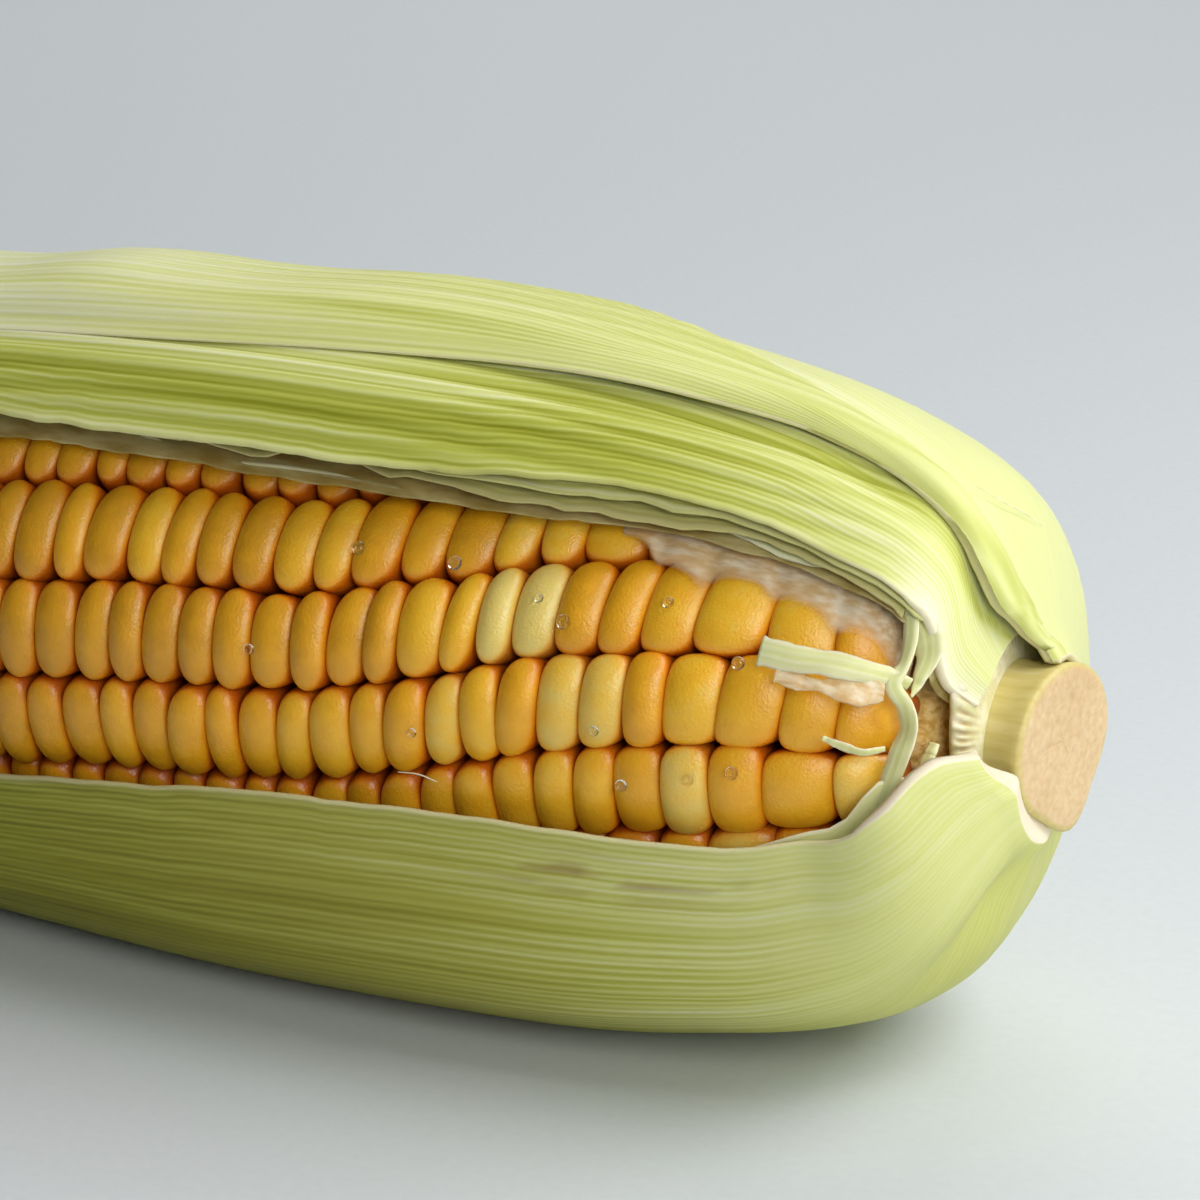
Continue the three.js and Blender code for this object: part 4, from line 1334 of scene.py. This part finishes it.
# %% Collar ring
RING_SIDES = 450
RING_STEP = 0.8  # degrees, so that RING_SIDES steps go once round
TOOTH = 4.8  # degrees from one tooth of the comb to the next
COLLAR_START_X = 110.9
COLLAR_LENGTH = 2.5
COLLAR_INSIDE = 7.0  # mm, the radius of its bore, which the stem fills
collar_u = np.linspace(0, 1, 24)[:, None]
ring_turn = np.arange(RING_SIDES) * RING_STEP
frill = noise(ring_turn / 9, 0.5, 91) * 0.8 + noise(ring_turn / 3.7, 0.5, 92) * 0.5
wander = 1.5 * noise(ring_turn / 9, 0.5, 93)
comb = 0.5 + 0.5 * np.cos(2 * np.pi * (ring_turn / TOOTH + wander))
toothed = bump_at(0.74, 0.14, collar_u)
hump_top = smooth_line([
    [0, 9.8], [24, 11.5], [34, 12.8], [42, 12.4], [52, 11.8], [75, 11], [180, 10], [270, 8.8],
    [330, 9.2], [360, 9.8],
])(ring_turn)
hump = np.sin(np.pi * collar_u**0.9) ** 0.8
collar_x = COLLAR_START_X + COLLAR_LENGTH * collar_u + 0.3 * frill * hump
collar_r = COLLAR_INSIDE + (hump_top - 7.3 + 0.7 * frill) * hump + 0.5 * comb * toothed
collar_grid = on_ear(collar_x, collar_r, ring_turn)
worn = 0.5 + 0.5 * noise(ring_turn / 6, 3 * collar_u, 95)
collar_brown = np.r_[(smooth_step(0.35, 0.8, 1 - comb) * toothed * worn).ravel(), 0, 0]
make_piece("collar_ring", closed_rings(collar_grid), tube_faces(*collar_grid.shape[:2]),
           torn_fibre, "stem", brown=collar_brown)
print("Collar ring up to", round(float(collar_r.max()), 1), "mm from the axis")

# %% [markdown]
# ## Loose fibres
# Tearing leaves a few loose fibres behind: two rolled threads at the edge of the opening, and hairs
# finer than 0.2 mm. Each is a round tube through a few stops, thinner at both ends.

# %% Fibres
FIBRES = [
    ([(34.0, 25.5, 52.4), (36.6, 25.6, 51.7), (39.4, 25.4, 50.7), (42.2, 25.2, 50)], 0.28),
    ([(46.0, 25.3, 49.2), (48.3, 25.4, 49.4), (54.5, 25.2, 50), (62.5, 24.8, 49.7)], 0.26),
    ([(110.6, 22.6, 81.8), (112.7, 20.2, 88.7), (114.0, 17.9, 101.7)], 0.06),
    ([(66.9, 24.6, -8.5), (68.9, 24.5, -8.3), (70.7, 24.4, -9.4)], 0.07),
]


def fibre(stops, radius):
    """A round tube through stops of (x, radius, angle), whose own radius swells from 0.5 of the
    given one at its ends to all of it halfway, as a sine."""
    s = np.linspace(0, 1, len(stops))
    u = np.linspace(0, 1, 24)
    columns = np.array(stops, float).T
    x, distance, angle = (smooth_line(np.stack([s, column], -1))(u) for column in columns)
    thin = radius * (0.35 + 0.65 * np.sin(np.pi * (0.08 + 0.84 * u)))
    return swept(on_ear(x, distance, angle), thin, thin, (0, 1, 1), 8)


fibre_points, fibre_faces = many_tubes([fibre(stops, radius) for stops, radius in FIBRES])
make_piece("loose_fibres", fibre_points, fibre_faces, torn_fibre, "husk_pale")
print(len(FIBRES), "loose fibres")

# %% [markdown]
# ## Drops of water
# A few drops, about a millimetre wide, sit on the kernels. Water is clear and smooth, and bends
# light less than glass does: its IOR is 1.33. Each drop is a flattened ball of a few rings, sunk
# halfway into the skin.

# %% Drops
dew, tree, surface = new_finish("dew_drop")
place = add(tree, "TexCoord").outputs["Object"]
ripple = add(tree, "TexNoise", {"Vector": place, "Scale": 600}).outputs["Fac"]
drop_bump = add(tree, "Bump", {"Height": ripple, "Strength": 0.05, "Distance": 0.0001}).outputs[0]
body = add(tree, "BsdfPrincipled", {
    "Base Color": "#ffffff", "Roughness": 0.03, "IOR": 1.33, "Transmission Weight": 1.0,
    "Normal": drop_bump,
})
tree.links.new(body.outputs[0], surface)

# Where they sit, as (x, angle).
DROPS = [
    (97.1, 1.0), (93.3, -1.9), (87.3, -5.4), (80.7, 28.2), (84.8, 6.1), (96.6, 25.9),
    (78.0, 32.3), (67.8, -0.6), (89.4, 36.4), (60.2, 36.4), (69.5, 36.7), (51.6, 11.6),
    (106.5, 48.3),
]
rng = np.random.default_rng(97)
latitude = np.radians(np.linspace(-80, 80, 9))
balls = []
for x, angle in DROPS:
    radius = rng.uniform(0.42, 0.66)
    at = on_ear(x, crown_radius(x) + 0.1, angle)
    out = at - on_ear(x, 0.0, angle)
    out = out / np.linalg.norm(out)
    path = at + out * np.sin(latitude)[:, None] * radius * 0.7
    girth = np.cos(latitude) * radius
    balls.append(swept(path, girth, girth, (1, 0, 0), 14))
drop_points, drop_faces = many_tubes(balls)
make_piece("dew_drops", drop_points, drop_faces, dew, "kernels")
print(len(DROPS), "drops of water")

# %% [markdown]
# ## Silk
# The tuft of silk comes out between the leaf tips and droops. Its threads have a soft gloss, and
# have turned from gold to brown in places, which noise draws. Each is a thin tube along its own
# smooth path, about 0.4 mm thick: two or three real ones stuck together. About a hundred are enough
# for a tuft that clings together, and hair or particles would not reach the exported model.

# %% Silk
silk_thread, tree, surface = new_finish("corn_silk")
place = add(tree, "TexCoord").outputs["Object"]
hue = add(tree, "TexNoise", {"Vector": place, "Scale": 700, "Detail": 2}).outputs["Fac"]
silk_colour = add(tree, "ValToRGB", {"Fac": hue}, stops=[
    (0, "#6b4420"), (0.5, "#b08a44"), (1, "#e0c890"),
]).outputs["Color"]
body = add(tree, "BsdfPrincipled", {"Base Color": silk_colour, "Roughness": 0.45})
tree.links.new(body.outputs[0], surface)

THREADS = 110
SILK_START_X = -96
rng = np.random.default_rng(101)
s = np.linspace(0, 1, 18)
threads = []
for _ in range(THREADS):
    out_y, out_z = rng.normal(0, 1.0, 2)
    droop = rng.uniform(2, 9)
    reach = rng.uniform(-136.5, -126)
    x = SILK_START_X + (reach - SILK_START_X) * s
    y = out_y * (0.3 + 1.4 * s**2) + 0.4 * np.sin(6 * s + rng.uniform(0, 6))
    z = AXIS_HEIGHT + out_z * (0.3 + 1.2 * s**2) - droop * smooth_step(0.55, 1.1, s)
    girth = 0.18 * (1 - 0.5 * s)
    threads.append(swept(np.stack([x, y, z], -1), girth, girth, (0, 1, 0), 5))
silk_points, silk_faces = many_tubes(threads)
make_piece("silk_threads", silk_points, silk_faces, silk_thread, "silk", ["silk_tuft"])
print(THREADS, "threads of silk")

# %% [markdown]
# ## The floor
# The ear lies on a plain pale sweep of matt paper: a floor that curves up into a backdrop, so that
# there is no horizon. It is one profile, flat, then a quarter of a circle, then upright, drawn out
# sideways. It is only the stage, so it is not attached to the ear's body and doesn't count as part of
# the ear.

# %% Floor
SWEEP_FRONT = -1.6  # all of the sweep is in metres
SWEEP_BEND = 1.0  # where the floor starts to curve up
SWEEP_RADIUS = 0.6
SWEEP_TOP = 2.2
FLAT = 0.6  # share of the profile's points that lie flat
profile_share = np.linspace(0, 1, 60)
bend = (profile_share - FLAT) / 0.4 * np.pi / 2
flat_y = SWEEP_FRONT + profile_share / FLAT * (SWEEP_BEND - SWEEP_FRONT)
sweep_y = np.where(profile_share < FLAT, flat_y, SWEEP_BEND + SWEEP_RADIUS * np.sin(bend))
sweep_z = np.where(profile_share < FLAT, 0, SWEEP_RADIUS - SWEEP_RADIUS * np.cos(bend))
sweep_y = np.r_[sweep_y, SWEEP_BEND + SWEEP_RADIUS]
sweep_z = np.r_[sweep_z, SWEEP_TOP]
sweep_x = np.array([-2.5, 2.5])[:, None]
sweep_points = np.stack(np.broadcast_arrays(sweep_x, sweep_y, sweep_z), -1)
k = np.arange(len(sweep_y) - 1)
sweep_faces = np.stack([k, k + len(sweep_y), k + len(sweep_y) + 1, k + 1], -1).tolist()
sweep_mesh = bpy.data.meshes.new("sweep")
sweep_mesh.from_pydata(sweep_points.reshape(-1, 3).tolist(), [], sweep_faces)
sweep_mesh.shade_smooth()
paper, tree, surface = new_finish("matt_backdrop_paper")
place = add(tree, "TexCoord").outputs["Object"]
grain = add(tree, "TexNoise", {"Vector": place, "Scale": 900, "Detail": 2}).outputs["Fac"]
paper_colour = add(tree, "ValToRGB", {"Fac": grain}, stops=[
    (0, "#c9ced1"), (1, "#d1d6d8"),
]).outputs["Color"]
body = add(tree, "BsdfPrincipled", {"Base Color": paper_colour, "Roughness": 0.8})
tree.links.new(body.outputs[0], surface)
sweep_mesh.materials.append(paper)
sweep = bpy.data.objects.new("sweep", sweep_mesh)
bpy.context.scene.collection.objects.link(sweep)
print("The sweep is", round(float(np.ptp(sweep_x)), 1), "m wide")

# %% [markdown]
# ## Lamps
# One large soft lamp stands high on the stem side, a little behind the ear, so that the crowns of
# the kernels and the leaf's crest catch it. A weaker one in front opens the shadows, and a third
# lights the backdrop. Their power is low enough that the pale leaf at the stem doesn't turn white.

# %% Lamps
def soft_lamp(name, place, target, size, power):
    """A square area lamp at place that faces target."""
    data = bpy.data.lights.new(name, "AREA")
    data.size = size
    data.energy = power
    lamp = bpy.data.objects.new(name, data)
    lamp.location = place
    facing = np.array(target) - np.array(place)
    lamp.rotation_euler = (
        math.atan2(math.hypot(facing[0], facing[1]), -facing[2]),
        0,
        math.atan2(facing[1], facing[0]) - math.pi / 2,
    )
    bpy.context.scene.collection.objects.link(lamp)


soft_lamp("key_lamp", (0.44, 0.10, 0.45), (0.24, 0, 0.03), 0.38, 2.7)
soft_lamp("front_fill", (0.44, -0.31, 0.25), (0.20, 0, 0.03), 0.26, 1.2)
soft_lamp("backdrop_lamp", (-0.22, 0.68, 0.64), (-0.20, 0.60, 0), 0.7, 3.6)
print(len(bpy.data.lights), "lamps")

# %% [markdown]
# ## Sky
# A plain pale sky fills in from everywhere. It is brighter on the stem side, so the ear grows darker
# towards its tip.

# %% Sky
world = bpy.data.worlds.new("plain_sky")
bpy.context.scene.world = world
world.use_nodes = True
sky = world.node_tree.nodes["Background"]
sky.inputs["Color"].default_value = linear("#e4e6e8")
way = add(world.node_tree, "TexCoord").outputs["Generated"]
sideways = add(world.node_tree, "SeparateXYZ", {"Vector": way}).outputs["X"]
glow = add(world.node_tree, "MapRange", {
    "Value": sideways, "From Min": -1.0, "To Min": 0.02, "To Max": 0.4,
})
world.node_tree.links.new(glow.outputs[0], sky.inputs["Strength"])
bpy.context.scene.view_settings.view_transform = "Standard"
print("View transform:", bpy.context.scene.view_settings.view_transform)
